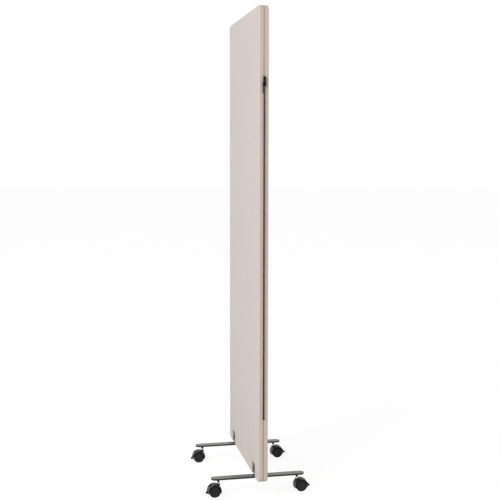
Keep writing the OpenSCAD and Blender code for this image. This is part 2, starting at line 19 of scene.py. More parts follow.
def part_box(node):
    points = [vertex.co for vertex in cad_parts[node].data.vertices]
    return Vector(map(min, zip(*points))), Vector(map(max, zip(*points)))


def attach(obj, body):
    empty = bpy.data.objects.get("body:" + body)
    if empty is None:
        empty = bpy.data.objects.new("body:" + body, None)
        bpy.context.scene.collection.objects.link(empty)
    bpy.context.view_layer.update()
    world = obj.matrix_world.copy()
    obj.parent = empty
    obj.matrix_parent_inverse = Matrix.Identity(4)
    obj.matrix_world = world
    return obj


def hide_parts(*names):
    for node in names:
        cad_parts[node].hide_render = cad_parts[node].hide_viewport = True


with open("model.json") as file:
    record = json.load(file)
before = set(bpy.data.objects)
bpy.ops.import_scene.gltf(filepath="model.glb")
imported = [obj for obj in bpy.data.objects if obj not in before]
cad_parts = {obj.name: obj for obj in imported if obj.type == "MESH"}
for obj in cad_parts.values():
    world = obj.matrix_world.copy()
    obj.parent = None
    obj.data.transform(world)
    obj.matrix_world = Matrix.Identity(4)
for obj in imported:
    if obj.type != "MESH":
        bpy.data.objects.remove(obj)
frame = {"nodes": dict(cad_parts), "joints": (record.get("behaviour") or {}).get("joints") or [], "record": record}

LOG = logging.getLogger("partition")
MM = 0.001
TURNED_CREASE = 40.0
WIRE_CREASE = 80.0
Point = tuple[float, float, float]
Colour = tuple[float, float, float, float]
Radius = float | Callable[[float], float]
CORNERS = ("front_left", "front_right", "rear_left", "rear_right")


def srgb(red: float, green: float, blue: float) -> Colour:
    """Turns a colour in display values from 0 to 255 into a linear one.

    Args:
        red: The red channel.
        green: The green channel.
        blue: The blue channel.

    Returns:
        The linear colour, with full alpha.
    """
    def linear(value: float) -> float:
        """Returns one channel in linear light."""
        share = value / 255
        if share <= 0.04045:
            return share / 12.92
        return ((share + 0.055) / 1.055) ** 2.4

    return linear(red), linear(green), linear(blue), 1.0


def scaled(tone: Colour, factor: float, lift: float = 0.0) -> Colour:
    """Returns a colour with its channels multiplied and then lifted."""
    return tuple(channel * factor + lift for channel in tone[:3]) + (1.0,)


# ---- Shader maths ----


class Graph:
    """A node tree in the making."""

    def __init__(self, tree: bpy.types.NodeTree) -> None:
        """Takes a tree and empties it."""
        self.tree = tree
        tree.nodes.clear()

    def node(self, kind: str, settings: dict[str, Any] | None = None,
             inputs: dict[Any, Any] | None = None) -> bpy.types.Node:
        """Adds a node.

        Args:
            kind: The node's type.
            settings: Its settings, which are set first.
            inputs: Values or links of its sockets, by identifier, name or index.

        Returns:
            The new node.
        """
        node = self.tree.nodes.new(kind)
        for key, value in (settings or {}).items():
            setattr(node, key, value)
        for key, value in (inputs or {}).items():
            self.feed(self._socket(node, key), value)
        return node

    @staticmethod
    def _socket(node: bpy.types.Node, key: Any) -> bpy.types.NodeSocket:
        """Finds an input socket by identifier, name or index."""
        named = [socket for socket in node.inputs if socket.identifier == key]
        return named[0] if named else node.inputs[key]

    def feed(self, socket: bpy.types.NodeSocket, value: Any) -> None:
        """Links a wrapped or plain output to a socket, or sets the socket's value."""
        if isinstance(value, Value):
            value = value.socket
        if isinstance(value, bpy.types.NodeSocket):
            self.tree.links.new(value, socket)
        else:
            socket.default_value = value


def operator(operation: str, swapped: bool = False) -> Callable[[Any, Any], "Value"]:
    """Returns a method of Value that adds one Math node with two operands.

    Args:
        operation: The Math node's operation.
        swapped: Whether the other operand comes first.

    Returns:
        The method.
    """
    def apply(this: "Value", other: Any) -> "Value":
        """Returns the node's result."""
        return this.combined(operation, *((other, this) if swapped else (this, other)))

    return apply


class Value:
    """A number that varies over a surface. Expressions on it add Math nodes."""

    def __init__(self, shader: "Shader", socket: bpy.types.NodeSocket) -> None:
        """Wraps an output socket."""
        self.shader = shader
        self.socket = socket

    def combined(self, operation: str, *operands: Any) -> "Value":
        """Adds one Math node.

        Args:
            operation: The Math node's operation.
            operands: Its operands.

        Returns:
            The node's result.
        """
        node = self.shader.node("ShaderNodeMath", {"operation": operation},
                                dict(enumerate(operands)))
        return Value(self.shader, node.outputs[0])

    __add__ = __radd__ = operator("ADD")
    __mul__ = __rmul__ = operator("MULTIPLY")
    __sub__, __rsub__ = operator("SUBTRACT"), operator("SUBTRACT", True)
    __truediv__, __rtruediv__ = operator("DIVIDE"), operator("DIVIDE", True)
    above = operator("GREATER_THAN")

    def absolute(self) -> "Value":
        """Returns the size without its sign."""
        return self.combined("ABSOLUTE", self)

    def between(self, low: float, high: float) -> "Value":
        """Stretches a range from low to high to 0 to 1, and clamps what lies outside it."""
        node = self.shader.node(
            "ShaderNodeMapRange", {"clamp": True},
            {"Value": self, "From Min": low, "From Max": high})
        return Value(self.shader, node.outputs["Result"])


class Shader(Graph):
    """One material with a Principled shader, and the nodes that feed it."""

    def __init__(self, name: str, **constants: Any) -> None:
        """Starts a material.

        Args:
            name: The material's name.
            constants: Sockets of the Principled shader that are the same all over, with
                underscores in place of spaces.
        """
        self.material = bpy.data.materials.new(name)
        self.material.use_nodes = True
        super().__init__(self.material.node_tree)
        self.surface = self.node("ShaderNodeBsdfPrincipled", {}, {
            key.replace("_", " "): value for key, value in constants.items()})
        self.node("ShaderNodeOutputMaterial", {}, {"Surface": self.surface.outputs[0]})
        self.place = self.node("ShaderNodeTexCoord").outputs["Object"]

    def coordinate(self, axis: str) -> Value:
        """Returns one of the object's coordinates, in metres."""
        node = self.node("ShaderNodeSeparateXYZ", {}, {0: self.place})
        return Value(self, node.outputs[axis])

    def turned(self, scale: Point, turn: Point = (0.0, 0.0, 0.0)) -> bpy.types.NodeSocket:
        """Returns the object's coordinates, turned and then scaled.

        Args:
            scale: How often a pattern repeats in a metre along each axis.
            turn: Rotation about each axis, in degrees.

        Returns:
            The vector's socket.
        """
        rotation = tuple(math.radians(angle) for angle in turn)
        vector = self.place
        for change in ({"Rotation": rotation}, {"Scale": scale}):
            vector = self.node("ShaderNodeMapping", {"vector_type": "POINT"},
                               {"Vector": vector, **change}).outputs[0]
        return vector

    def noise(self, scale: float, detail: float = 2.0, rough: float = 0.5,
              vector: Any = None) -> Value:
        """Adds a noise texture with so many features in a metre, or in a unit of a vector."""
        node = self.node("ShaderNodeTexNoise", {"noise_dimensions": "3D"},
                         {"Vector": vector or self.place, "Scale": scale,
                          "Detail": detail, "Roughness": rough})
        return Value(self, node.outputs["Fac"])

    def blend(self, share: Any, first: Any, second: Any) -> bpy.types.NodeSocket:
        """Mixes two colours, with a share of the second one from 0 to 1."""
        node = self.node("ShaderNodeMix", {"data_type": "RGBA"},
                         {"Factor_Float": share, "A_Color": first, "B_Color": second})
        return node.outputs[2]

    def colour(self, value: Any) -> "Shader":
        """Feeds the base colour."""
        self.feed(self.surface.inputs["Base Color"], value)
        return self

    def rough(self, value: Any) -> "Shader":
        """Feeds the roughness."""
        self.feed(self.surface.inputs["Roughness"], value)
        return self

    def relief(self, height: Value, depth: float) -> "Shader":
        """Feeds a bump from a height.

        Args:
            height: The height, from 0 to 1.
            depth: How deep the relief is, in metres.

        Returns:
            The shader itself.
        """
        bump = self.node("ShaderNodeBump", {}, {"Height": height, "Distance": depth,
                                                "Strength": 1.0})
        self.feed(self.surface.inputs["Normal"], bump.outputs["Normal"])
        return self


# ---- Finishes ----


@dataclass(frozen=True)
class FeltFinish:
    """Heathered wool-like felt: fibres of three tones that lie every way."""

    name: str = "heathered_felt"
    light: Colour = srgb(224, 214, 208)
    middle: Colour = srgb(207, 196, 190)
    dark: Colour = srgb(168, 155, 149)
    edge_light: Colour = srgb(217, 202, 192)
    edge_middle: Colour = srgb(198, 182, 172)
    # Painted shade: seam and the two values below lay a dark brown on the edges next to the seam between the
    # shells, where the zip shades the felt.
    seam: Colour = srgb(150, 112, 98)
    seam_shade_reach: float = 3.0 * MM
    seam_shade_share: float = 0.6
    fibre_width: float = 0.22 * MM
    fibre_length: float = 3.2 * MM
    lay_angles: tuple[float, ...] = (8.0, 67.0, 128.0)
    heather_range: tuple[float, float] = (0.40, 0.60)
    cloud_scale: float = 26.0
    cloud_share: float = 0.22
    fleck_share: float = 0.75
    face_y: float = 16 * MM
    edge_r: float = 3 * MM
    relief: float = 0.1 * MM

    def make(self) -> bpy.types.Material:
        """Builds the material."""
        shader = Shader(self.name, Roughness=0.92, Sheen_Weight=0.25, Sheen_Roughness=0.5,
                        Specular_IOR_Level=0.2)
        across, along = 1 / self.fibre_width, 1 / self.fibre_length
        lays = [shader.noise(1.0, 2.0, 0.55,
                             shader.turned((across, across, along), (23.0, angle, 0.0)))
                for angle in self.lay_angles]
        fibres = (lays[0] + lays[1] + lays[2]) / len(lays)
        heather = fibres.between(*self.heather_range)
        cloudy = shader.noise(self.cloud_scale, 3.0, 0.6).between(0.3, 0.7)
        flecks = lays[1].between(0.66, 0.76) * lays[2].between(0.42, 0.60)
        depth = shader.coordinate("Y").absolute()
        pressed = 1 - depth.between(self.face_y - self.edge_r, self.face_y - self.edge_r / 4)
        face = shader.blend(heather, self.middle, self.light)
        edge = shader.blend(heather, self.edge_middle, self.edge_light)
        # Painted shade next to the seam, fading out 3 mm from it.
        seam_shade_mask = 1 - depth.between(0.0, self.seam_shade_reach)
        edge = shader.blend(seam_shade_mask * self.seam_shade_share, edge, self.seam)
        ground = shader.blend(pressed, face, edge)
        clouded = shader.blend(cloudy * self.cloud_share, ground, self.middle)
        shader.colour(shader.blend(flecks * self.fleck_share, clouded, self.dark))
        return shader.relief(fibres.between(0.3, 0.7), self.relief).material


@dataclass(frozen=True)
class CoatFinish:
    """Powder coat on steel, with its fine orange peel."""

    name: str
    tone: Colour
    roughness: float = 0.3
    gloss: float = 0.5
    peel: float = 0.015 * MM
    peel_scale: float = 650.0
    wear_scale: float = 40.0
    wear_tone: float = 1.25
    wear_share: float = 0.5
    wear_rough: float = 0.08

    def _ground(self, shader: Shader, wear: Value) -> Any:
        """Returns the coat's colour, a little lighter where it is worn."""
        return shader.blend(wear * self.wear_share, self.tone, scaled(self.tone, self.wear_tone))

    def make(self) -> bpy.types.Material:
        """Builds the material."""
        shader = Shader(self.name, Specular_IOR_Level=self.gloss)
        peel = shader.noise(self.peel_scale, 2.0, 0.5)
        wear = shader.noise(self.wear_scale, 4.0, 0.6).between(0.35, 0.75)
        shader.colour(self._ground(shader, wear))
        shader.rough(wear * self.wear_rough + self.roughness)
        return shader.relief(peel, self.peel).material


@dataclass(frozen=True)
class BarFinish(CoatFinish):
    """Coat of a foot bar, with a painted highlight on its upper face and along that face's edges."""

    top: float = 66 * MM
    edge_h: float = 0.4 * MM
    # upper is the colour of the painted highlight on the top face.
    upper: Colour = srgb(104, 101, 99)

    def _ground(self, shader: Shader, wear: Value) -> Any:
        """Returns the coat's colour with a painted highlight on its upper face."""
        # Painted highlight: above top - edge_h, on the top face and the upper rounding, the coat gets the lighter
        # upper colour in place of the reflection that face catches.
        painted_top_light = shader.coordinate("Z").above(self.top - self.edge_h)
        return shader.blend(painted_top_light, super()._ground(shader, wear), self.upper)


@dataclass(frozen=True)
class MetalFinish:
    """Bare or plated metal."""

    name: str
    tone: Colour
    roughness: float
    spread: float = 0.12
    grain: float = 0.01 * MM
    grain_scale: Point = (300.0, 300.0, 2500.0)

    def make(self) -> bpy.types.Material:
        """Builds the material."""
        shader = Shader(self.name, Metallic=1.0)
        grain = shader.noise(1.0, 2.0, 0.5, shader.turned(self.grain_scale))
        shader.colour(self.tone)
        shader.rough(grain * self.spread + (self.roughness - self.spread / 2))
        return shader.relief(grain, self.grain).material


@dataclass(frozen=True)
class PlasticFinish:
    """Moulded plastic or rubber with a fine eroded grain."""

    name: str
    tone: Colour
    roughness: float = 0.4
    gloss: float = 0.25
    grain: float = 0.02 * MM
    grain_scale: float = 1900.0
    wear_scale: float = 90.0
    wear_share: float = 0.6
    wear_tone: float = 1.6
    wear_lift: float = 0.002
    wear_rough: float = 0.1

    def make(self) -> bpy.types.Material:
        """Builds the material."""
        shader = Shader(self.name, Specular_IOR_Level=self.gloss)
        grain = shader.noise(self.grain_scale, 2.0, 0.6)
        worn = shader.noise(self.wear_scale, 3.0, 0.6).between(0.35, 0.8)
        lighter = scaled(self.tone, self.wear_tone, self.wear_lift)
        shader.colour(shader.blend(worn * self.wear_share, self.tone, lighter))
        shader.rough(worn * self.wear_rough + self.roughness)
        return shader.relief(grain, self.grain).material


@dataclass(frozen=True)
class FibreFinish:
    """Loose fibre pad, as in the panel's core."""

    name: str
    tone: Colour
    tuft_scale: float = 160.0
    shade: float = 0.7
    depth: float = 1.2 * MM

    def make(self) -> bpy.types.Material:
        """Builds the material."""
        shader = Shader(self.name, Roughness=1.0)
        tufts = shader.noise(self.tuft_scale, 6.0, 0.7)
        darker = scaled(self.tone, self.shade)
        shader.colour(shader.blend(tufts.between(0.3, 0.7), darker, self.tone))
        return shader.relief(tufts, self.depth).material


class Finish(Enum):
    """The finishes. A value is a material slot of the record, with a variant after a dot."""

    FELT = "felt"
    FRAME_TUBE = "frame_tube"
    CORE = "core"
    BONDING = "bonding"
    FOOT_BAR = "foot_bar"
    BRACKET = "bracket"
    FASTENERS = "fasteners"
    FRAME_FASTENERS = "frame_fasteners"
    ZIP_TAPE = "zip_tape"
    ZIP_CHAIN = "zip_chain"
    ZIP_METAL = "zip_metal"
    PULL = "pull"
    STEM = "stem"
    AXLE = "axle"
    CASTER_PLASTIC = "caster_plastic"
    HOOD_PLASTIC = "caster_plastic.hood"
    LEVER_PLASTIC = "caster_plastic.lever"
    WHEEL = "wheel"
    WHEEL_DISC = "wheel.disc"

    @property
    def slot(self) -> str:
        """Returns the record's material slot."""
        return self.value.split(".")[0]


class Finishes:
    """Makes each finish once, and dresses the frame's own nodes with them."""

    def __init__(self) -> None:
        """Builds every material."""
        makers: dict[Finish, Any] = {
            Finish.FELT: FeltFinish(face_y=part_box("rear_felt_shell")[1].y),
            Finish.FRAME_TUBE: CoatFinish("tube_paint", srgb(120, 122, 124), 0.4),
            Finish.CORE: FibreFinish("core_fibre", srgb(226, 222, 214)),
            Finish.BONDING: FibreFinish("bonding_foam", srgb(236, 236, 230)),
            Finish.FOOT_BAR: BarFinish("bar_coat", srgb(8, 8, 8), 0.2, 0.4,
                                       top=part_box("left_foot_bar")[1].z),
            Finish.BRACKET: CoatFinish("bracket_coat", srgb(48, 44, 42), 0.4),
            Finish.FASTENERS: CoatFinish("black_oxide", srgb(30, 29, 28), 0.35),
            Finish.FRAME_FASTENERS: MetalFinish("zinc_plate", srgb(190, 190, 194), 0.3),
            Finish.ZIP_TAPE: PlasticFinish("tape_weave", srgb(17, 8, 6), 0.9, 0.0),
            Finish.ZIP_CHAIN: PlasticFinish("coil_nylon", srgb(17, 8, 6), 0.6, 0.04),
            Finish.ZIP_METAL: CoatFinish("zip_enamel", srgb(18, 10, 7), 0.3, 0.15),
            Finish.PULL: CoatFinish("pull_enamel", srgb(52, 46, 42), 0.25, 0.4),
            Finish.STEM: MetalFinish("bright_plate", srgb(226, 226, 228), 0.12),
            Finish.AXLE: MetalFinish("ground_steel", srgb(180, 180, 182), 0.3),
            Finish.CASTER_PLASTIC: PlasticFinish("collar_plastic", srgb(10, 10, 10), 0.5, 0.1),
            Finish.HOOD_PLASTIC: PlasticFinish("hood_plastic", srgb(22, 22, 22), 0.34, 0.45),
            Finish.LEVER_PLASTIC: PlasticFinish("lever_plastic", srgb(8, 8, 8), 0.55, 0.06),
            Finish.WHEEL: PlasticFinish("tyre_rubber", srgb(5, 5, 5), 0.6, 0.03),
            Finish.WHEEL_DISC: PlasticFinish("disc_plastic", srgb(34, 33, 33), 0.45, 0.2),
        }
        self.materials = {finish: maker.make() for finish, maker in makers.items()}

    def dress(self, piece: bpy.types.Object, finish: Finish) -> None:
        """Gives a piece one finish."""
        piece.data.materials.clear()
        piece.data.materials.append(self.materials[finish])

    def dress_frame(self, record: dict[str, Any], nodes: dict[str, bpy.types.Object]) -> None:
        """Gives every node of the frame the finish of its slot."""
        for subpart in record["subparts"]:
            self.dress(nodes[subpart["node"]], Finish(subpart["material_slot"]))


# ---- Mesh tools ----


class Form:
    """A mesh in the making, in the frame's own axes."""

    def __init__(self) -> None:
        """Starts an empty form."""
        self.bm = bmesh.new()

    @classmethod
    def of_node(cls, node: str) -> "Form":
        """Starts from a merged copy of a frame node's mesh.

        Args:
            node: The node's name.

        Returns:
            The form, with the flat faces made whole again.
        """
        form = cls()
        form.bm.from_mesh(frame["nodes"][node].data)
        form.merge()
        bmesh.ops.dissolve_limit(form.bm, angle_limit=math.radians(0.3),
                                 verts=form.bm.verts[:], edges=form.bm.edges[:])
        return form

    def ring(self, points: Iterable[Point]) -> list[bmesh.types.BMVert]:
        """Adds points that later faces join."""
        return [self.bm.verts.new(point) for point in points]

    def band(self, first: Sequence[bmesh.types.BMVert], second: Sequence[bmesh.types.BMVert],
             closed: bool = True) -> None:
        """Joins two rings of equal length with quads, the last points with the first if closed."""
        count = len(first)
        for i in range(count if closed else count - 1):
            j = (i + 1) % count
            self.bm.faces.new((first[i], first[j], second[j], second[i]))

    def loft(self, rings: Sequence[Sequence[Point]], ends: str = "filled") -> "Form":
        """Joins rings in order.

        Args:
            rings: Rings of equal length.
            ends: "filled" closes both ends with a face, "open" leaves them as they are, and
                "joined" joins the last ring to the first one.

        Returns:
            The form itself.
        """
        made = [self.ring(points) for points in rings]
        for first, second in zip(made, made[1:]):
            self.band(first, second)
        if ends == "joined":
            self.band(made[-1], made[0])
        if ends == "filled":
            self.bm.faces.new(tuple(reversed(made[0])))
            self.bm.faces.new(tuple(made[-1]))
        return self

    def lathe(self, profile: Sequence[tuple[Radius, float]], turn: Matrix,
              steps: int = 48) -> "Form":
        """Turns a profile round an axis.

        Args:
            profile: Pairs of a radius and a height. A radius is a number, or a function of the
                angle. A profile that starts at the axis has to end there too, and any other
                one is closed into a loop.
            turn: Takes the local Z axis to the real one.
            steps: Faces round the axis.

        Returns:
            The form itself.
        """
        angles = [math.tau * i / steps for i in range(steps)]
        rings = []
        for radius, height in profile:
            reach = radius if callable(radius) else (lambda angle, r=radius: r)
            rings.append([turn @ Vector((reach(a) * math.cos(a), reach(a) * math.sin(a),
                                         height)) for a in angles])
        return self.loft(rings, "open" if profile[0][0] == 0 else "joined")

    def prism(self, outline: Sequence[tuple[float, float]], low: float, high: float,
              turn: Matrix) -> "Form":
        """Extrudes an outline of the local XY plane along Z, and turns it to its real place."""
        return self.loft([[turn @ Vector((x, y, z)) for x, y in outline] for z in (low, high)])

    def tube(self, path: Sequence[Vector], radius: float, across: Vector,
             sides: int = 6) -> "Form":
        """Sweeps a round section along a path.

        Args:
            path: The points of the path.
            radius: The section's radius.
            across: A direction that the path never takes.
            sides: Faces round the section.

        Returns:
            The form itself.
        """
        rings = []
        for i, point in enumerate(path):
            ahead = (path[min(i + 1, len(path) - 1)] - path[max(i - 1, 0)]).normalized()
            side = ahead.cross(across).normalized()
            across = side.cross(ahead).normalized()
            rings.append([point + (side * math.cos(math.tau * k / sides)
                                   + across * math.sin(math.tau * k / sides)) * radius
                          for k in range(sides)])
        return self.loft(rings)

    def merge(self, distance: float = 0.002 * MM) -> None:
        """Merges points that coincide, and drops the faces that vanish with them."""
        bmesh.ops.remove_doubles(self.bm, verts=self.bm.verts[:], dist=distance)
        bmesh.ops.dissolve_degenerate(self.bm, edges=self.bm.edges[:], dist=distance / 2)

    def piece(self, name: str, bevel: float = 0.0, segments: int = 2, crease: float = 32.0,
              thickness: float = 0.0) -> bpy.types.Object:
        """Turns the form into an object.

        Args:
            name: The piece's name.
            bevel: Width of the rounding on its sharp edges, or 0.
            segments: Faces across the rounding.
            crease: Edges that turn more than this many degrees are sharp.
            thickness: Thickness that a sheet gets, or 0 for a solid.

        Returns:
            The object.
        """
        self.merge()
        bmesh.ops.recalc_face_normals(self.bm, faces=self.bm.faces[:])
        mesh = bpy.data.meshes.new(name)
        self.bm.to_mesh(mesh)
        self.bm.free()
        made = bpy.data.objects.new(name, mesh)
        bpy.context.scene.collection.objects.link(made)
        smooth(mesh, crease)
        if thickness:
            wall = made.modifiers.new("wall", "SOLIDIFY")
            wall.thickness = thickness
            wall.offset = 0.0
        if bevel:
            rounding = made.modifiers.new("rounding", "BEVEL")
            rounding.width = bevel
            rounding.segments = segments
            rounding.limit_method = "ANGLE"
            rounding.angle_limit = math.radians(crease)
            rounding.use_clamp_overlap = True
        flat = made.modifiers.new("flat_faces", "WEIGHTED_NORMAL")
        flat.keep_sharp = True
        settle(made)
        return made


def settle(piece: bpy.types.Object) -> None:
    """Turns what a piece's modifiers make into its plain mesh.

    Args:
        piece: The piece.
    """
    graph = bpy.context.evaluated_depsgraph_get()
    result = bpy.data.meshes.new_from_object(piece.evaluated_get(graph))
    piece.modifiers.clear()
    piece.data = result


def smooth(mesh: bpy.types.Mesh, crease: float) -> None:
    """Shades a mesh smoothly between its sharp edges."""
    mesh.polygons.foreach_set("use_smooth", [True] * len(mesh.polygons))
    mesh.set_sharp_from_angle(angle=math.radians(crease))


def hexagon(apothem: float, most: float = math.inf) -> Callable[[float], float]:
    """Returns a hexagon's radius as a function of the angle, cut back to a circle at most."""
    sixth = math.pi / 3
    return lambda angle: min(apothem / math.cos(angle % sixth - sixth / 2), most)


def arc(centre: tuple[float, float], radius: float, start: float, stop: float,
        steps: int) -> list[tuple[float, float]]:
    """Returns the points of an arc between two angles in degrees, with both ends."""
    angles = [math.radians(start + (stop - start) * i / steps) for i in range(steps + 1)]
    return [(centre[0] + radius * math.cos(a), centre[1] + radius * math.sin(a))
            for a in angles]


def arcs(radius: float, steps: int,
         *turns: tuple[float, float, float, float]) -> list[tuple[float, float]]:
    """Returns arcs in a row, each given by its centre and its first and last angle."""
    return [point for x, y, start, stop in turns
            for point in arc((x, y), radius, start, stop, steps)]


class RowTree:
    """Geometry Nodes tree that repeats a piece in a row, and the row in a second row."""

    INPUTS = (("Count", "NodeSocketInt"), ("Step", "NodeSocketVector"),
              ("Rows", "NodeSocketInt"), ("Row Step", "NodeSocketVector"),
              ("Jitter", "NodeSocketFloat"), ("Seed", "NodeSocketInt"),
              ("Material", "NodeSocketMaterial"))

    def __init__(self) -> None:
        """Builds the tree."""
        graph = Graph(bpy.data.node_groups.new("repeat_in_rows", "GeometryNodeTree"))
        self.tree = graph.tree
        face = self.tree.interface
        face.new_socket("Geometry", in_out="OUTPUT", socket_type="NodeSocketGeometry")
        face.new_socket("Geometry", in_out="INPUT", socket_type="NodeSocketGeometry")
        self.keys = {name: face.new_socket(name, in_out="INPUT", socket_type=kind).identifier
                     for name, kind in self.INPUTS}
        given = graph.node("NodeGroupInput").outputs
        flip = graph.node("ShaderNodeMath", {"operation": "MULTIPLY"},
                          {0: given["Jitter"], 1: -1.0})
        shake = graph.node("FunctionNodeRandomValue", {"data_type": "FLOAT"},
                           {"Min_001": flip.outputs[0], "Max_001": given["Jitter"],
                            "Seed": given["Seed"]})
        turn = graph.node("ShaderNodeCombineXYZ", {}, {0: shake.outputs[1]}).outputs[0]
        copies = given["Geometry"]
        for count, step, spin in (("Count", "Step", turn), ("Rows", "Row Step", None)):
            line = graph.node("GeometryNodeMeshLine", {"mode": "OFFSET", "count_mode": "TOTAL"},
                              {"Count": given[count], "Offset": given[step]})
            links = {"Points": line.outputs[0], "Instance": copies}
            if spin:
                links["Rotation"] = spin
            copies = graph.node("GeometryNodeInstanceOnPoints", {}, links).outputs[0]
        real = graph.node("GeometryNodeRealizeInstances", {}, {0: copies})
        paint = graph.node("GeometryNodeSetMaterial", {},
                           {"Geometry": real.outputs[0], "Material": given["Material"]})
        graph.node("NodeGroupOutput", {}, {0: paint.outputs[0]})

    def repeat(self, piece: bpy.types.Object, material: bpy.types.Material,
               count: int, step: Point, rows: int = 1, row_step: Point = (0.0, 0.0, 0.0),
               jitter: float = 0.0) -> None:
        """Repeats a piece, and leaves the result as its plain mesh.

        Args:
            piece: The piece, whose mesh is the first copy about the world's origin.
            material: The copies' material.
            count: Copies in a row.
            step: From one copy to the next, in metres.
            rows: How many rows there are.
            row_step: From one row to the next.
            jitter: Largest turn of a copy about the X axis, in radians.
        """
        values = {"Count": count, "Step": step, "Rows": rows, "Row Step": row_step,
                  "Jitter": jitter, "Seed": 7, "Material": material}
        modifier = piece.modifiers.new("rows", "NODES")
        modifier.node_group = self.tree
        for name, value in values.items():
            modifier[self.keys[name]] = value
        settle(piece)


def shift(mesh: bpy.types.Mesh, offset: Point) -> None:
    """Moves a mesh by an offset in metres."""
    mesh.transform(Matrix.Translation(Vector(offset)))


@dataclass
class Bench:
    """Where pieces are finished: it knows the materials, the frame and the repeat tree."""

    finishes: Finishes
    rows: RowTree

    def fit(self, piece: bpy.types.Object, body: str, finish: Finish, *nodes: str) -> None:
        """Dresses a piece and fixes it to its body.

        Args:
            piece: The finished piece.
            body: The body that it rides on.
            finish: Its finish.
            nodes: The frame's nodes that it stands for.
        """
        self.finishes.dress(piece, finish)
        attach(piece, body)
        if nodes:
            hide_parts(*nodes)
        LOG.info("%s rides on %s", piece.name, body)

    def repeat(self, piece: bpy.types.Object, finish: Finish, count: int, step: Point,
               **more: Any) -> None:
        """Repeats a piece in rows of one finish."""
        self.rows.repeat(piece, self.finishes.materials[finish], count, step, **more)

    def refine(self, node: str, body: str, finish: Finish, bevel: float, segments: int = 2,
               crease: float = 32.0) -> None:
        """Stands a copy of a node in its place, with the edges past a crease angle rounded."""
        piece = Form.of_node(node).piece(f"{node}_finished", bevel, segments, crease)
        self.fit(piece, body, finish, node)


@dataclass
class Assembly:
    """A sub-assembly that is finished on the bench."""

    bench: Bench


# ---- Panel ----


@dataclass
class FeltShell(Assembly):
    """One moulded felt tray: its face, its rounded edges and its rim at the seam."""

    side: int
    corner_r: float = 22 * MM
    edge_r: float = 3 * MM
    skin: float = 4 * MM
    rim: float = 6 * MM
    lip_r: float = 0.7 * MM
    flat_band: float = 2 * MM
    notch_w: float = 52 * MM
    notch_h: float = 47 * MM
    notch_r: float = 8 * MM
    foot_x: float = 205 * MM
    corner_steps: int = 10
    edge_steps: int = 6
    notch_steps: int = 6

    @property
    def node(self) -> str:
        """Returns the name of the shell's node."""
        return "front_felt_shell" if self.side < 0 else "rear_felt_shell"

    def _notch(self, middle: float, low: float, inset: float) -> list[tuple[float, float, bool]]:
        """Returns a notch's points from left to right.

        Args:
            middle: The notch's middle along X.
            low: The panel's lower edge.
            inset: How far the lower edge is drawn in.

        Returns:
            Triples of X, Z and whether the point stays in the skin.
        """
        left, right = middle - self.notch_w / 2, middle + self.notch_w / 2
        top = low + self.notch_h
        shoulder = top - self.notch_r
        arch = arcs(self.notch_r, self.notch_steps, (left + self.notch_r, shoulder, 180, 90),
                    (right - self.notch_r, shoulder, 90, 0))
        rim_z = low + self.rim
        return ([(left, low + inset, False), (left, rim_z, False), (left, rim_z, True)]
                + [(x, z, True) for x, z in arch]
                + [(right, rim_z, True), (right, rim_z, False), (right, low + inset, False)])

    def _outline(self, box: tuple[Vector, Vector], inset: float) -> list[tuple[float, float, bool]]:
        """Returns the shell's outline at an inset, seen from the front.

        Args:
            box: The shell's box.
            inset: How far it is drawn in.

        Returns:
            Triples of X, Z and whether the point stays in the skin.
        """
        low, high = box
        radius = max(self.corner_r - inset, 0.5 * MM)
        in_x, in_low, in_high = (high.x - self.corner_r, low.z + self.corner_r,
                                 high.z - self.corner_r)

        def corner(x: float, z: float, start: float) -> list[tuple[float, float, bool]]:
            """Returns one round corner."""
            points = arc((x, z), radius, start, start + 90, self.corner_steps)
            return [(px, pz, False) for px, pz in points]

        return (corner(-in_x, in_low, 180) + self._notch(-self.foot_x, low.z, inset)
                + self._notch(self.foot_x, low.z, inset) + corner(in_x, in_low, 270)
                + corner(in_x, in_high, 0) + corner(-in_x, in_high, 90))

    def _levels(self, depth: float) -> list[tuple[float, float]]:
        """Returns the inset and the depth of each ring, from the face round to the inside.

        Args:
            depth: The shell's whole depth.

        Returns:
            Pairs of an inset and a depth under the outer face.
        """
        turns = [math.radians(90 * i / self.edge_steps) for i in range(self.edge_steps + 1)]
        outer = [(self.edge_r * (1 - math.sin(a)), self.edge_r * (1 - math.cos(a)))
                 for a in turns]
        lip = self.lip_r
        return ([(self.edge_r + self.flat_band, 0.0)] + outer
                + [(0.0, self.skin), (0.0, depth - lip), (0.3 * lip, depth - 0.3 * lip),
                   (lip, depth), (self.rim, depth), (self.rim, depth - lip),
                   (self.rim, self.skin)])

    def build(self) -> None:
        """Builds the shell."""
        low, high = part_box(self.node)
        face_y = low.y if self.side < 0 else high.y
        form = Form()
        rings = []
        for inset, depth in self._levels(high.y - low.y):
            rings.append([(x, face_y - self.side * (min(depth, self.skin) if held else depth), z)
                          for x, z, held in self._outline((low, high), inset)])
        piece = form.loft(rings).piece(f"{self.node}_moulded")
        self.bench.fit(piece, "panel", Finish.FELT, self.node)


# ---- Zips ----


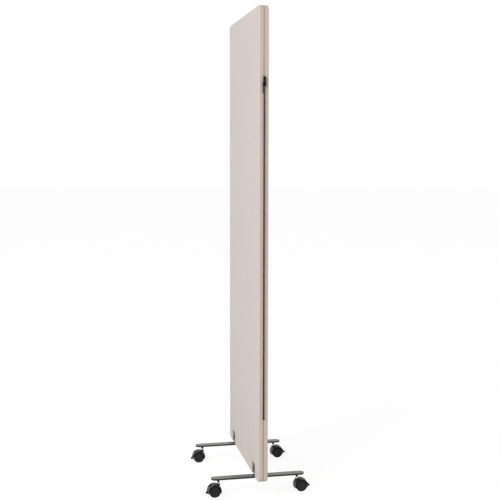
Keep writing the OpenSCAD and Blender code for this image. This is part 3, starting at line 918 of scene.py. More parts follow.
@dataclass
class Zip(Assembly):
    """One side's half of the connecting zip: the woven tape, its coil and its seams."""

    side: int
    tape_t: float = 0.7 * MM
    tape_mesh: float = 6 * MM
    wave: float = 0.15 * MM
    wave_length: float = 83 * MM
    coil_pitch: float = 1.6 * MM
    wire_r: float = 0.42 * MM
    reach_steps: int = 6
    stitch_l: float = 1.7 * MM
    stitch_pitch: float = 2.4 * MM
    thread_r: float = 0.16 * MM
    seam_from_coil: float = 0.9 * MM
    seam_gap: float = 1.1 * MM
    stitch_jitter: float = 2.0
    coil_rises: tuple[float, ...] = (0.0, 0.12, 0.2, 0.3, 0.38, 0.5, 0.75, 1.0)

    @property
    def place(self) -> str:
        """Returns the side's name."""
        return "left" if self.side < 0 else "right"

    def build(self) -> None:
        """Builds the half."""
        coil = self._coil()
        seams = [self._seam(face) for face in (-1, 1)]
        self._tape([coil] + seams)

    def _tape(self, on_it: Sequence[bpy.types.Object]) -> None:
        """Weaves the tape, which waves a little between the seam and the coil.

        Args:
            on_it: The pieces that are sewn to it; not used.
        """
        node = f"{self.place}_zip_tape"
        low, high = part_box(node)
        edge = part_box("front_felt_shell")[1].x
        rows = round((high.z - low.z) / self.tape_mesh)
        held, free = sorted((abs(low.x), abs(high.x)))
        reaches = [held] + [edge + (free - edge) * i / self.reach_steps
                            for i in range(self.reach_steps + 1)]
        form = Form()
        lines = []
        for i in range(rows + 1):
            z = low.z + (high.z - low.z) * i / rows
            ripple = self.wave * math.sin(math.tau * z / self.wave_length)
            lines.append(form.ring(
                [(self.side * x,
                  ripple * max(0.0, math.sin(math.pi * (x - edge) / (free - edge))), z)
                 for x in reaches]))
        for first, second in zip(lines, lines[1:]):
            form.band(first, second, False)
        piece = form.piece(f"{self.place}_zip_tape_woven", thickness=self.tape_t)
        self.bench.fit(piece, "panel", Finish.ZIP_TAPE, node)

    def _coil(self) -> bpy.types.Object:
        """Winds the nylon coil round the tape's edge."""
        node = f"{self.place}_zip_chain"
        low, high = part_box(node)
        inner, outer = sorted((abs(low.x), abs(high.x)))
        inner += self.wire_r
        outer -= self.wire_r
        leg = high.y - self.wire_r
        shoulder = outer - 0.6 * leg
        turn = ((inner, -leg), (shoulder, -leg), (outer, -leg / 2), (outer, leg / 2),
                (shoulder, leg), (inner, leg), (inner, 0.0), (inner, -leg))
        path = [Vector((self.side * x, y, low.z + self.wire_r + rise * self.coil_pitch))
                for (x, y), rise in zip(turn, self.coil_rises)]
        form = Form().tube(path, self.wire_r, Vector((0.0, 0.0, 1.0)))
        piece = form.piece(f"{self.place}_zip_coil", crease=WIRE_CREASE)
        count = int((high.z - low.z - 2 * self.wire_r) / self.coil_pitch)
        self.bench.repeat(piece, Finish.ZIP_CHAIN, count, (0.0, 0.0, self.coil_pitch))
        self.bench.fit(piece, "panel", Finish.ZIP_CHAIN, node)
        return piece

    def _seam(self, face: int) -> bpy.types.Object:
        """Sews two rows of stitches along one face of the tape.

        Args:
            face: -1 for the front, 1 for the rear.

        Returns:
            The stitches.
        """
        low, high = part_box(f"{self.place}_zip_tape")
        coil = min(abs(corner.x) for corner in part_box(f"{self.place}_zip_chain"))
        x = self.side * (coil - self.seam_from_coil)
        half = self.stitch_l / 2
        path = [Vector((0.0, face * y, z)) for y, z in
                ((0.0, -half), (self.thread_r, -0.6 * half), (self.thread_r, 0.6 * half),
                 (0.0, half))]
        form = Form().tube(path, self.thread_r, Vector((1.0, 0.0, 0.0)), 5)
        face_name = "front" if face < 0 else "rear"
        piece = form.piece(f"{self.place}_zip_{face_name}_stitches", crease=WIRE_CREASE)
        count = int((high.z - low.z) / self.stitch_pitch)
        self.bench.repeat(piece, Finish.ZIP_TAPE, count, (0.0, 0.0, self.stitch_pitch), rows=2,
                          row_step=(-self.side * self.seam_gap, 0.0, 0.0),
                          jitter=math.radians(self.stitch_jitter))
        shift(piece.data, (x, face * self.tape_t / 2, low.z + self.stitch_pitch / 2))
        self.bench.fit(piece, "panel", Finish.ZIP_TAPE, f"{self.place}_zip_tape")
        return piece


@dataclass
class ZipSlider(Assembly):
    """Slider on the right zip: two shield-shaped plates, their flanges, divider and bridge."""

    plate: float = 1.4 * MM
    flange: float = 1.2 * MM
    flange_l: float = 14 * MM
    slot: float = 0.9 * MM
    corner_r: float = 2.6 * MM
    corner_steps: int = 6
    tail: float = 0.6 * MM
    divider_w: float = 2.6 * MM
    divider_l: float = 5 * MM
    lens_gap: float = 0.3 * MM
    lens_tip: float = 0.8 * MM
    lens_waist: float = 0.55
    lens_steps: int = 12
    bridge_w: float = 3 * MM
    bridge_t: float = 1.4 * MM
    bridge_l: float = 7.2 * MM
    bridge_steps: int = 12
    squareness: float = 0.45
    edge: float = 0.35 * MM

    def _plate_outline(self, half_w: float, half_l: float) -> list[tuple[float, float]]:
        """Returns a plate's outline, a little narrower at its tail.

        Args:
            half_w: Half of its width.
            half_l: Half of its length.

        Returns:
            Pairs of X and Z about its middle.
        """
        r = self.corner_r
        narrow = half_w - self.tail
        return arcs(r, self.corner_steps, (narrow - r, half_l - r, 0, 90),
                    (r - narrow, half_l - r, 90, 180), (r - half_w, r - half_l, 180, 270),
                    (half_w - r, r - half_l, 270, 360))

    def _lens(self, half_l: float) -> list[tuple[float, float]]:
        """Returns the divider's pointed outline."""
        w, l = self.divider_w / 2, self.divider_l
        waist, shoulder = self.lens_waist * w, l - half_l - self.lens_tip
        return ([(w * math.cos(a), -half_l + self.lens_gap + w * (1 - math.sin(a)))
                 for a in (math.pi * i / self.lens_steps for i in range(self.lens_steps + 1))]
                + [(-waist, shoulder), (0.0, l - half_l), (waist, shoulder)])

    def build(self) -> None:
        """Builds the slider."""
        low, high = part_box("zip_slider")
        middle = Vector(((low.x + high.x) / 2, 0.0, (low.z + high.z) / 2))
        half_w, half_l = (high.x - low.x) / 2, (high.z - low.z) / 2
        face, top = high.y, low.y
        turn = Matrix.Translation(middle) @ Matrix.Rotation(math.radians(90), 4, "X")
        form = Form()
        outline = self._plate_outline(half_w, half_l)
        for side in (-1, 1):
            reach = sorted((side * face, side * (face - self.plate)))
            form.prism(outline, reach[0], reach[1], turn)
            for x in (-1, 1):
                wall = sorted((x * half_w, x * (half_w - self.flange)))
                strip = [(wall[0], -self.flange_l / 2), (wall[1], -self.flange_l / 2),
                         (wall[1], self.flange_l / 2), (wall[0], self.flange_l / 2)]
                reach = sorted((side * (face - self.plate / 2), side * self.slot))
                form.prism(strip, reach[0], reach[1], turn)
        form.prism(self._lens(half_l), self.plate / 2 - face, face - self.plate / 2, turn)
        self._bridge(form, middle, top, face)
        piece = form.piece("zip_slider_cast", self.edge, 2, TURNED_CREASE)
        self.bench.fit(piece, "zip_slider", Finish.ZIP_METAL, "zip_slider")

    def _bridge(self, form: Form, middle: Vector, top: float, face: float) -> None:
        """Adds the arched strap that the pull tab hangs from.

        Args:
            form: The slider's form.
            middle: The slider's middle.
            top: Where the strap ends towards the front.
            face: How far the plates reach from the tape.
        """
        half, t = self.bridge_l / 2, self.bridge_t
        foot = -(face - self.plate / 2)
        turns = [math.pi * i / self.bridge_steps for i in range(self.bridge_steps + 1)]
        outer = [(-half * math.cos(a), foot + (top - foot) * math.sin(a) ** self.squareness)
                 for a in turns]
        inner = [((half - t) * math.cos(a),
                  foot + (top + t - foot) * math.sin(a) ** self.squareness) for a in turns]
        place = Matrix.Translation(middle) @ Matrix(
            ((0, 0, 1), (0, 1, 0), (1, 0, 0))).to_4x4()
        form.prism(outer + inner, -self.bridge_w / 2, self.bridge_w / 2, place)


# ---- Feet ----


@dataclass
class FootBracket(Assembly):
    """Bent steel saddle between a foot bar and the panel's frame."""

    place: str
    wall: float = 2 * MM
    bend: float = 3 * MM
    bend_steps: int = 8
    edge: float = 0.45 * MM

    def build(self) -> None:
        """Builds the bracket."""
        node = f"{self.place}_foot_bracket"
        low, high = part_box(node)
        inside = self.bend - self.wall
        front, rear, base = low.y + self.bend, high.y - self.bend, low.z + self.bend
        outer = arcs(self.bend, self.bend_steps, (front, base, 180, 270), (rear, base, 270, 360))
        inner = arcs(inside, self.bend_steps, (rear, base, 360, 270), (front, base, 270, 180))
        section = ([(low.y, high.z)] + outer + [(high.y, high.z), (high.y - self.wall, high.z)]
                   + inner + [(low.y + self.wall, high.z)])
        along_x = Matrix(((0, 0, 1), (1, 0, 0), (0, 1, 0))).to_4x4()
        form = Form().prism(section, low.x, high.x, along_x)
        piece = form.piece(f"{self.place}_foot_saddle", self.edge, 2)
        self.bench.fit(piece, "panel", Finish.BRACKET, node)


@dataclass
class Fasteners(Assembly):
    """Bolts, nuts and screws of both feet, each kind made once and set out in rows."""

    steps: int = 24
    crease: float = 38.0
    bolt_r: float = 3 * MM
    head_r: float = 5.2 * MM
    head_h: float = 3.2 * MM
    bolt_key: float = 2 * MM
    nut_flat: float = 4.85 * MM
    screw_r: float = 2.5 * MM
    screw_head_r: float = 4.5 * MM
    screw_head_h: float = 2.4 * MM
    screw_key: float = 1.5 * MM

    @staticmethod
    def _to_rear(node: str) -> Matrix:
        """Returns the place of an axis that runs from a node's front end to the rear."""
        low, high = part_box(node)
        return (Matrix.Translation(Vector((0.0, low.y, (low.z + high.z) / 2)))
                @ Matrix.Rotation(math.radians(-90), 4, "X"))

    def _set_out(self, profile: Sequence[tuple[Radius, float]], turn: Matrix,
                 name: str, node: str, size: float) -> None:
        """Turns a fastener, and repeats it at the places of its node.

        Args:
            profile: The fastener's profile.
            turn: Takes its axis to the real one.
            name: The piece's name.
            node: The frame's node.
            size: The fastener's width.
        """
        piece = Form().lathe(profile, turn, self.steps).piece(name, crease=self.crease)
        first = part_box(node)[0].x + size / 2
        feet = [sum(corner.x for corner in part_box(f"{place}_foot_bar")) / 2
                for place in ("left", "right")]
        self.bench.repeat(piece, Finish.FASTENERS, 2, (2 * (feet[0] - first), 0.0, 0.0),
                          rows=2, row_step=(feet[1] - feet[0], 0.0, 0.0))
        shift(piece.data, (first, 0.0, 0.0))
        self.bench.fit(piece, "panel", Finish.FASTENERS, node)

    def build(self) -> None:
        """Builds the three kinds."""
        self._bolts()
        self._nuts()
        self._screws()

    def _bolts(self) -> None:
        """Makes the button-head bolts, which point to the rear."""
        low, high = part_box("bracket_bolts")
        head, top = self.head_r, self.head_h
        length = high.y - low.y
        profile = [
            (0.0, 0.58 * top), (hexagon(0.96 * self.bolt_key), 0.58 * top),
            (hexagon(self.bolt_key), 0.05 * top), (1.22 * self.bolt_key, 0.0),
            (0.62 * head, 0.0), (0.76 * head, 0.07 * top), (0.88 * head, 0.25 * top),
            (0.96 * head, 0.52 * top), (head, 0.85 * top), (head, top), (self.bolt_r, top),
            (self.bolt_r, length - 0.6 * MM), (self.bolt_r - 0.6 * MM, length), (0.0, length)]
        self._set_out(profile, self._to_rear("bracket_bolts"), "bracket_button_bolts",
                      "bracket_bolts", 2 * self.head_r)

    def _nuts(self) -> None:
        """Makes the hexagon nuts."""
        low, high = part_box("bracket_nuts")
        height = high.y - low.y
        flat = self.nut_flat
        round_off = 1.06 * flat
        profile = [
            (self.bolt_r, 0.0), (round_off, 0.0), (hexagon(flat), 0.35 * MM),
            (hexagon(flat), height - 0.5 * MM), (hexagon(flat, 1.1 * flat), height - 0.3 * MM),
            (hexagon(flat, round_off), height), (self.bolt_r + 0.5 * MM, height),
            (self.bolt_r, height - 0.5 * MM)]
        self._set_out(profile, self._to_rear("bracket_nuts"), "bracket_hex_nuts",
                      "bracket_nuts", 2 * flat / math.cos(math.pi / 6))

    def _screws(self) -> None:
        """Makes the countersunk screws, which point up."""
        low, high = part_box("bar_screws")
        head, sunk = self.screw_head_r, self.screw_head_h
        key = self.screw_key
        length = high.z - low.z
        profile = [
            (0.0, 0.62 * sunk), (hexagon(0.95 * key), 0.62 * sunk), (hexagon(key), 0.06 * sunk),
            (1.3 * key, 0.0), (head - 0.15 * MM, 0.0), (head, 0.1 * sunk),
            (self.screw_r, sunk), (self.screw_r, length - 0.5 * MM),
            (self.screw_r - 0.5 * MM, length), (0.0, length)]
        up = Matrix.Translation(Vector((0.0, 0.0, low.z)))
        self._set_out(profile, up, "bar_countersunk_screws", "bar_screws",
                      2 * self.screw_head_r)


# ---- Casters ----


@dataclass
class BrakeLever(Assembly):
    """One caster's brake lever: an arc over the tyres, a blade with a ribbed tip, and trunnions."""

    corner: str
    axle: Matrix
    inner_r: float = 22 * MM
    wall: float = 2 * MM
    width: float = 15 * MM
    low: float = 39.0
    high: float = 64.0
    lip_out: float = 1 * MM
    lip_l: float = 4 * MM
    ease: float = 0.45 * MM
    ease_steps: int = 3
    tip_r: float = 3 * MM
    ridges: int = 4
    ridge_pitch: float = 1.5 * MM
    ridge_h: float = 0.3 * MM
    pivot_a: float = 58.0
    trunnion_r: float = 1.3 * MM
    trunnion_l: float = 19.4 * MM
    trunnion_ease: float = 0.3 * MM
    trunnion_steps: int = 20
    rib_depth: float = 5 * MM
    rib_t: float = 1.5 * MM
    rib_steps: int = 16
    arc_steps: int = 16
    lead_steps: int = 4
    ridge_steps: int = 8
    tip_steps: int = 5
    tyre_room: float = 20.4 * MM
    crease: float = 50.0
    travel: float = 10.0

    @property
    def pivot(self) -> Vector:
        """Returns the trunnions' middle, from the axle."""
        reach, turn = self.inner_r + self.wall / 2, math.radians(self.pivot_a)
        return Vector((reach * math.cos(turn), reach * math.sin(turn), 0.0))

    @property
    def out(self) -> Vector:
        """Returns the direction square to the blade, away from the axle."""
        turn = math.radians(self.low)
        return Vector((math.cos(turn), math.sin(turn), 0.0))

    @property
    def ahead(self) -> Vector:
        """Returns the direction along the blade, towards its tip."""
        return Vector((self.out.y, -self.out.x, 0.0))

    def _length(self, reach: float) -> float:
        """Returns the blade's length for a reach of its tip."""
        tip = self.inner_r + self.wall + self.lip_out
        return (reach - tip * self.out.x) / self.ahead.x

    def _rib(self, length: float) -> list[tuple[float, float]]:
        """Returns a stiffening rib under the blade, as deep as the tyre leaves room.

        Args:
            length: The blade's length.

        Returns:
            The rib's outline in the plane square to the axle.
        """
        turn = Matrix.Rotation(math.radians(self.travel), 3, "Z")
        tyre = self.pivot - turn @ self.pivot
        upper, lower = [], []
        for i in range(self.rib_steps + 1):
            place = self.lip_l + (length - self.lip_l - self.tip_r / 2) * i / self.rib_steps
            bent = max(0.0, place - length + self.lip_l) / self.lip_l
            root = self.out * (self.inner_r + self.lip_out * bent) + self.ahead * place
            aside = abs((root - tyre).dot(self.ahead))
            room = math.inf
            if aside < self.tyre_room:
                room = (root - tyre).dot(self.out) - math.sqrt(self.tyre_room ** 2 - aside ** 2)
            depth = max(0.0, min(self.rib_depth, room, 0.9 * (length - place)))
            upper.append(root + self.out * self.wall / 2)
            lower.append(root - self.out * depth)
        return [(point.x, point.y) for point in upper + lower[::-1]]

    def _place(self) -> Matrix:
        """Returns the axle's place, turned about the trunnions as far as the lever is pressed."""
        joint = next(j for j in frame["joints"] if j["name"] == f"{self.corner}_brake")
        turned = math.radians(joint["range_deg"][0])
        return (self.axle @ Matrix.Translation(self.pivot)
                @ Matrix.Rotation(turned, 4, "Z") @ Matrix.Translation(-self.pivot))

    def _section(self, root: Vector, out: Vector, half: float, wall: float) -> list[Vector]:
        """Returns a round-cornered section.

        Args:
            root: The middle of its inner side.
            out: The direction of its outer side.
            half: Half of its width.
            wall: Its thickness.

        Returns:
            Its points.
        """
        r = min(self.ease, wall / 2.1)
        points = arcs(r, self.ease_steps, (half - r, wall - r, 0, 90),
                      (r - half, wall - r, 90, 180), (r - half, r, 180, 270),
                      (half - r, r, 270, 360))
        return [root + out * y + Vector((0.0, 0.0, x)) for x, y in points]

    def _rings(self, reach: float) -> list[list[Vector]]:
        """Returns the lever's sections, from its upper end to its tip.

        Args:
            reach: How far the tip of the free lever lies out from the axle.

        Returns:
            The sections.
        """
        half = self.width / 2
        rings = []
        for i in range(self.arc_steps + 1):
            turn = math.radians(self.high + (self.low - self.high) * i / self.arc_steps)
            out = Vector((math.cos(turn), math.sin(turn), 0.0))
            tuck = 0.0 if i else self.ease / 2
            rings.append(self._section(out * (self.inner_r + tuck), out, half - tuck,
                                       self.wall - 2 * tuck))
        out, ahead, length = self.out, self.ahead, self._length(reach)
        ridged = (self.ridges + 0.5) * self.ridge_pitch
        smooth_l = length - ridged - self.tip_r / 2
        places = [0.0]
        for stretch, steps in ((smooth_l, self.lead_steps),
                               (ridged, round(self.ridge_steps * (self.ridges + 0.5))),
                               (self.tip_r / 2, self.tip_steps)):
            places += [places[-1] + stretch * i / steps for i in range(1, steps + 1)]
        for place in places[1:]:
            bent = max(0.0, place - length + self.lip_l) / self.lip_l
            left = min(self.tip_r, length - place)
            narrow = self.tip_r - math.sqrt(self.tip_r ** 2 - (self.tip_r - left) ** 2)
            along = min(max(place - smooth_l, 0.0), ridged - self.ridge_pitch / 2)
            ridge = max(0.0, math.sin(math.tau * along / self.ridge_pitch)) * self.ridge_h
            root = out * (self.inner_r + self.lip_out * bent) + ahead * place
            rings.append(self._section(root, out, half - narrow, self.wall + ridge))
        return rings

    def build(self) -> None:
        """Moulds the lever."""
        node = f"{self.corner}_brake_lever"
        place = self._place()
        back = place.inverted()
        reach = max((back @ v.co).x for v in frame["nodes"][node].data.vertices)
        form = Form().loft([[place @ point for point in ring] for ring in self._rings(reach)])
        for side in (-1, 1):
            wall = sorted((side * (self.width / 2 - self.ease),
                           side * (self.width / 2 - self.ease - self.rib_t)))
            form.prism(self._rib(self._length(reach)), wall[0], wall[1], place)
        end, ease = self.trunnion_l / 2, self.trunnion_ease
        form.lathe([(0.0, -end), (self.trunnion_r - ease, -end), (self.trunnion_r, ease - end),
                    (self.trunnion_r, end - ease), (self.trunnion_r - ease, end), (0.0, end)],
                   place @ Matrix.Translation(self.pivot), self.trunnion_steps)
        piece = form.piece(f"{node}_moulded", crease=self.crease)
        self.bench.fit(piece, node, Finish.LEVER_PLASTIC, node)


@dataclass
class Caster(Assembly):
    """One twin-wheel caster: its stem, hood, wheels and brake lever."""

    corner: str
    round_steps: int = 72
    tyre_in: float = 17.2 * MM
    tyre_round: float = 1.5 * MM
    tyre_steps: int = 6
    face_sunk: float = 0.8 * MM
    groove: float = 0.4 * MM
    cap_r: float = 6.8 * MM
    cap_crown: float = 0.35 * MM
    hub_r: float = 5.4 * MM
    ribs: int = 6
    rib_t: float = 1.4 * MM
    web: float = 2.2 * MM
    neck_r: float = 2.9 * MM
    thread_r: float = 4 * MM
    thread_depth: float = 0.5 * MM
    thread_steps: int = 12
    thread_in: float = 2.9 * MM
    disc_skin: float = 1.2 * MM
    disc_rim: float = 0.6 * MM
    ring_in: float = 2.4 * MM
    axle_bore: float = 3.05 * MM
    rib_in: float = 1.8 * MM
    overlap: float = 0.1 * MM
    ease: float = 0.3 * MM
    turned_ease: float = 0.35 * MM
    collar_narrow: float = 3.5 * MM
    collar_bore: float = 2.92 * MM

    def build(self) -> None:
        """Builds the caster."""
        body = f"{self.corner}_caster"
        self._stem()
        self._collar()
        self.bench.refine(f"{self.corner}_hood", body, Finish.HOOD_PLASTIC, 0.3 * MM)
        self.bench.refine(f"{self.corner}_axle", body, Finish.AXLE, 0.4 * MM)
        for end in ("outer", "inner"):
            self._wheel(end)
        BrakeLever(self.bench, self.corner, self._axle_place()).build()

    def _stem_place(self) -> Matrix:
        """Returns the place of the stem's foot, on the floor."""
        low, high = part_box(f"{self.corner}_stem")
        return Matrix.Translation(Vector(((low.x + high.x) / 2, (low.y + high.y) / 2, 0.0)))

    def _axle_place(self) -> Matrix:
        """Returns the axle's place: X points out along the trail, Y up, Z along the axle."""
        low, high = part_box(f"{self.corner}_axle")
        middle = (low + high) / 2
        out = middle - self._stem_place().translation
        out.z = 0.0
        out.normalize()
        up = Vector((0.0, 0.0, 1.0))
        turned = Matrix((out, up, out.cross(up))).transposed().to_4x4()
        return Matrix.Translation(middle) @ turned

    def _stem(self) -> None:
        """Turns the plated stem with its flange and its thread."""
        node = f"{self.corner}_stem"
        low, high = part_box(node)
        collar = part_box(f"{self.corner}_collar")[1].z
        neck, flange, thread = self.neck_r, (high.x - low.x) / 2, self.thread_r
        back = self._stem_place().inverted()
        rings = [v.co.z for v in frame["nodes"][node].data.vertices
                 if (back @ v.co).xy.length > 0.98 * flange]
        seat, rim = min(rings), max(rings)
        ease = self.turned_ease
        start = collar - self.thread_in
        turns = [(thread - (self.thread_depth if i % 2 else 0.0), start + (0.3 + 0.55 * i) * MM)
                 for i in range(self.thread_steps)]
        profile = ([(0.0, low.z), (neck - ease, low.z), (neck, low.z + ease), (neck, seat),
                    (flange - ease, seat), (flange, seat + ease), (flange, rim - ease),
                    (flange - ease, rim), (neck + ease, rim), (neck, rim + ease),
                    (neck, start)] + turns
                   + [(thread - 0.6 * MM, high.z), (0.0, high.z)])
        self._turned(profile, f"{self.corner}_plated_stem", Finish.STEM, node)

    def _turned(self, profile: Sequence[tuple[float, float]], name: str,
                finish: Finish, node: str) -> None:
        """Turns a piece about the stem's axis, and fixes it to the caster."""
        piece = Form().lathe(profile, self._stem_place()).piece(name, crease=TURNED_CREASE)
        self.bench.fit(piece, f"{self.corner}_caster", finish, node)

    def _collar(self) -> None:
        """Turns the tapered collar under the foot bar."""
        node = f"{self.corner}_collar"
        low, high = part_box(node)
        wide, narrow, bore = (high.x - low.x) / 2, self.collar_narrow, self.collar_bore
        lip = self.turned_ease
        profile = [(bore, low.z), (narrow - lip, low.z), (narrow, low.z + lip),
                   (wide - 0.1 * MM, high.z - 1.4 * MM), (wide, high.z - 1.0 * MM),
                   (wide, high.z - lip), (wide - lip, high.z), (bore, high.z)]
        self._turned(profile, f"{self.corner}_tapered_collar", Finish.CASTER_PLASTIC, node)

    def _wheel(self, end: str) -> None:
        """Makes one wheel: a rubber tyre round a ribbed disc.

        Args:
            end: "outer" or "inner".
        """
        node = f"{self.corner}_{end}_wheel"
        place = self._axle_place()
        back = place.inverted()
        reaches = sorted(abs((back @ v.co).z) for v in frame["nodes"][node].data.vertices)
        near, far = reaches[0], reaches[-1]
        low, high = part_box(node)
        side = 1 if (back @ ((low + high) / 2)).z > 0 else -1
        place = place @ Matrix.Diagonal(Vector((1.0, 1.0, side, 1.0)))
        radius = (high.z - low.z) / 2
        tyre = self._tyre_profile(radius, near, far)
        form = Form().lathe(tyre, place, self.round_steps)
        piece = form.piece(f"{node}_tyre", crease=TURNED_CREASE)
        self.bench.fit(piece, node, Finish.WHEEL, node)
        form = Form().lathe(self._disc_profile(near, far), place, self.round_steps)
        floor = far - self.face_sunk - self.web
        for i in range(self.ribs):
            turn = place @ Matrix.Rotation(math.tau * i / self.ribs, 4, "Z")
            half = self.rib_t / 2
            rib = [(self.hub_r - half, -half), (self.tyre_in - half, -half),
                   (self.tyre_in - half, half), (self.hub_r - half, half)]
            form.prism(rib, near + self.rib_in, floor + self.overlap, turn)
        piece = form.piece(f"{node}_disc", crease=TURNED_CREASE)
        self.bench.fit(piece, node, Finish.WHEEL_DISC, node)

    def _tyre_profile(self, radius: float, near: float,
                      far: float) -> list[tuple[float, float]]:
        """Returns the tyre's section, with its rounded shoulders."""
        shoulder = self.tyre_round
        outer = arcs(shoulder, self.tyre_steps, (radius - shoulder, near + shoulder, 270, 360),
                     (radius - shoulder, far - shoulder, 0, 90))
        ease = self.ease
        return ([(self.tyre_in + ease, near)] + outer
                + [(self.tyre_in + ease, far), (self.tyre_in, far - ease),
                   (self.tyre_in, near + ease)])

    def _disc_profile(self, near: float, far: float) -> list[tuple[float, float]]:
        """Returns the disc's section: a sunk face with a cap and two grooves, and a hub."""
        face, cap = far - self.face_sunk, self.cap_r
        skin, web, bore = self.disc_skin, self.web, self.axle_bore
        rim = self.tyre_in - self.disc_rim
        ring = rim - self.ring_in
        return ([(0.0, face + self.cap_crown), (0.5 * cap, face + 0.8 * self.cap_crown),
                 (0.9 * cap, face + 0.35 * self.cap_crown)]
                + self._groove(cap, face) + self._groove(ring, face)
                + [(rim, face), (self.tyre_in, far - self.turned_ease),
                   (self.tyre_in, near + self.disc_rim), (rim, near + self.disc_rim),
                   (rim, face - web), (self.hub_r, face - web), (self.hub_r, near),
                   (bore, near), (bore, face - skin), (0.0, face - skin)])

    def _groove(self, start: float, face: float) -> list[tuple[float, float]]:
        """Returns a shallow groove's section, from where it starts on a face."""
        return [(start + share * self.groove, face - depth * self.groove)
                for share, depth in ((0.0, 0), (0.4, 1), (1.4, 1), (1.8, 0))]


# ---- Studio ----


def seen_rays(graph: Graph) -> bpy.types.NodeSocket:
    """Adds a switch that is 1 for what the camera sees, also in a reflection or through glass.

    Args:
        graph: The material's or the world's graph.

    Returns:
        The switch's socket.
    """
    path = graph.node("ShaderNodeLightPath").outputs
    seen = path["Is Camera Ray"]
    for name in ("Is Glossy Ray", "Is Transmission Ray"):
        seen = graph.node("ShaderNodeMath", {"operation": "MAXIMUM"},
                          {0: seen, 1: path[name]}).outputs[0]
    return seen


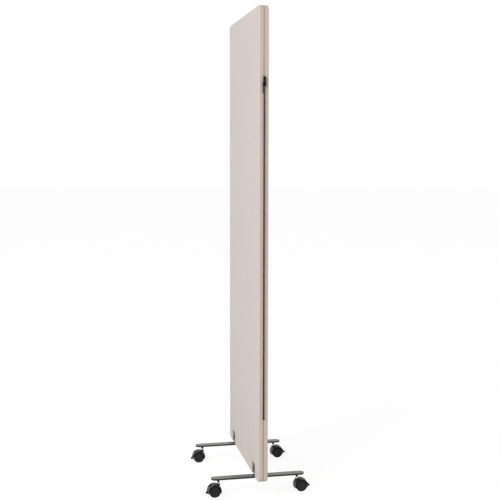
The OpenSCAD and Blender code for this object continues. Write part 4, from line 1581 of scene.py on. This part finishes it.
@dataclass
class Studio:
    """White studio with a pale floor, a soft lamp and the photograph's camera."""

    floor_size: float = 60.0
    floor_tone: float = 0.92
    floor_shown: float = 0.2
    floor_glow: float = 0.87
    world_level: float = 0.56
    key_power: float = 150.0
    key_size: float = 3.0
    key_place: Point = (3.6, -3.9, 3.2)
    key_aim: Point = (0.0, 0.0, 0.8)
    focal_px: float = 1004.84
    frame_px: float = 500.0
    axis_px: tuple[float, float] = (300.0, 250.0)
    eye: Point = (3.59611, -0.65987, 1.19155)
    heading: float = 76.6021
    pitch: float = 5.438
    roll: float = 0.3342
    sensor: float = 36.0

    def build(self) -> None:
        """Builds the camera, the world, the lamp and the floor."""
        self._camera()
        self._world()
        self._lamp()
        self._floor()

    def _camera(self) -> None:
        """Places the camera at the photograph's viewpoint."""
        turn, dip, lean = (math.radians(a) for a in (self.heading, self.pitch, self.roll))
        ahead = Vector((-math.sin(turn) * math.cos(dip), math.cos(turn) * math.cos(dip),
                        -math.sin(dip)))
        right = Vector((math.cos(turn), math.sin(turn), 0.0))
        up = right.cross(ahead)
        level_right = right * math.cos(lean) + up * math.sin(lean)
        level_up = up * math.cos(lean) - right * math.sin(lean)
        data = bpy.data.cameras.new("photo_camera")
        data.sensor_width = self.sensor
        data.lens = self.focal_px / self.frame_px * self.sensor
        data.shift_x = (self.frame_px / 2 - self.axis_px[0]) / self.frame_px
        data.shift_y = (self.axis_px[1] - self.frame_px / 2) / self.frame_px
        data.clip_end = 200.0
        camera = bpy.data.objects.new("photo_camera", data)
        turned = Matrix((level_right, level_up, -ahead)).transposed().to_4x4()
        camera.matrix_world = Matrix.Translation(Vector(self.eye)) @ turned
        bpy.context.scene.collection.objects.link(camera)
        bpy.context.scene.camera = camera

    def _world(self) -> None:
        """Makes a world that shows white and lights at a lower level."""
        world = bpy.data.worlds.new("studio_world")
        bpy.context.scene.world = world
        world.use_nodes = True
        graph = Graph(world.node_tree)
        strength = graph.node("ShaderNodeMapRange", {}, {
            "Value": seen_rays(graph), "To Min": self.world_level, "To Max": 1.0})
        background = graph.node("ShaderNodeBackground", {}, {
            "Color": (1.0, 1.0, 1.0, 1.0), "Strength": strength.outputs["Result"]})
        graph.node("ShaderNodeOutputWorld", {}, {"Surface": background.outputs[0]})

    def _lamp(self) -> None:
        """Hangs a broad soft lamp on the front side."""
        data = bpy.data.lights.new("key_softbox", "AREA")
        data.shape = "RECTANGLE"
        data.size = data.size_y = self.key_size
        data.energy = self.key_power
        lamp = bpy.data.objects.new("key_softbox", data)
        place = Vector(self.key_place)
        aim = Vector(self.key_aim) - place
        lamp.matrix_world = (Matrix.Translation(place)
                             @ aim.to_track_quat("-Z", "Y").to_matrix().to_4x4())
        bpy.context.scene.collection.objects.link(lamp)

    def _floor(self) -> None:
        """Lays the pale floor."""
        half = self.floor_size / 2
        mesh = bpy.data.meshes.new("studio_floor")
        mesh.from_pydata([(-half, -half, 0), (half, -half, 0), (half, half, 0),
                          (-half, half, 0)], [], [(0, 1, 2, 3)])
        floor = bpy.data.objects.new("studio_floor", mesh)
        bpy.context.scene.collection.objects.link(floor)
        material = bpy.data.materials.new("floor_paper")
        material.use_nodes = True
        graph = Graph(material.node_tree)
        paper, shown = (
            graph.node("ShaderNodeBsdfDiffuse", {}, {"Color": (tone, tone, tone, 1.0)})
            for tone in (self.floor_tone, self.floor_shown))
        glow = graph.node("ShaderNodeEmission", {}, {"Strength": self.floor_glow})
        both = graph.node("ShaderNodeAddShader", {}, {0: shown.outputs[0], 1: glow.outputs[0]})
        either = graph.node("ShaderNodeMixShader", {}, {
            0: seen_rays(graph), 1: paper.outputs[0], 2: both.outputs[0]})
        graph.node("ShaderNodeOutputMaterial", {}, {"Surface": either.outputs[0]})
        mesh.materials.append(material)


def main() -> None:
    """Builds every piece around the frame."""
    logging.basicConfig(level=logging.INFO, format="%(name)s: %(message)s")
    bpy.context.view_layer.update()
    bpy.context.scene.view_settings.view_transform = "Standard"
    Studio().build()
    finishes = Finishes()
    finishes.dress_frame(frame["record"], frame["nodes"])
    bench = Bench(finishes, RowTree())
    for side in (-1, 1):
        FeltShell(bench, side).build()
        Zip(bench, side).build()
    for place in ("left", "right"):
        bench.refine(f"{place}_foot_bar", "panel", Finish.FOOT_BAR, 0.0)
        FootBracket(bench, place).build()
    Fasteners(bench).build()
    bench.refine("right_zip_box", "panel", Finish.ZIP_METAL, 0.7 * MM, 3)
    bench.refine("left_zip_pin", "panel", Finish.ZIP_METAL, 0.3 * MM)
    bench.refine("zip_end_stops", "panel", Finish.ZIP_METAL, 0.35 * MM)
    ZipSlider(bench).build()
    bench.refine("zip_pull_tab", "zip_pull_tab", Finish.PULL, 0.4 * MM)
    for corner in CORNERS:
        Caster(bench, corner).build()


if __name__ == "__main__":
    main()
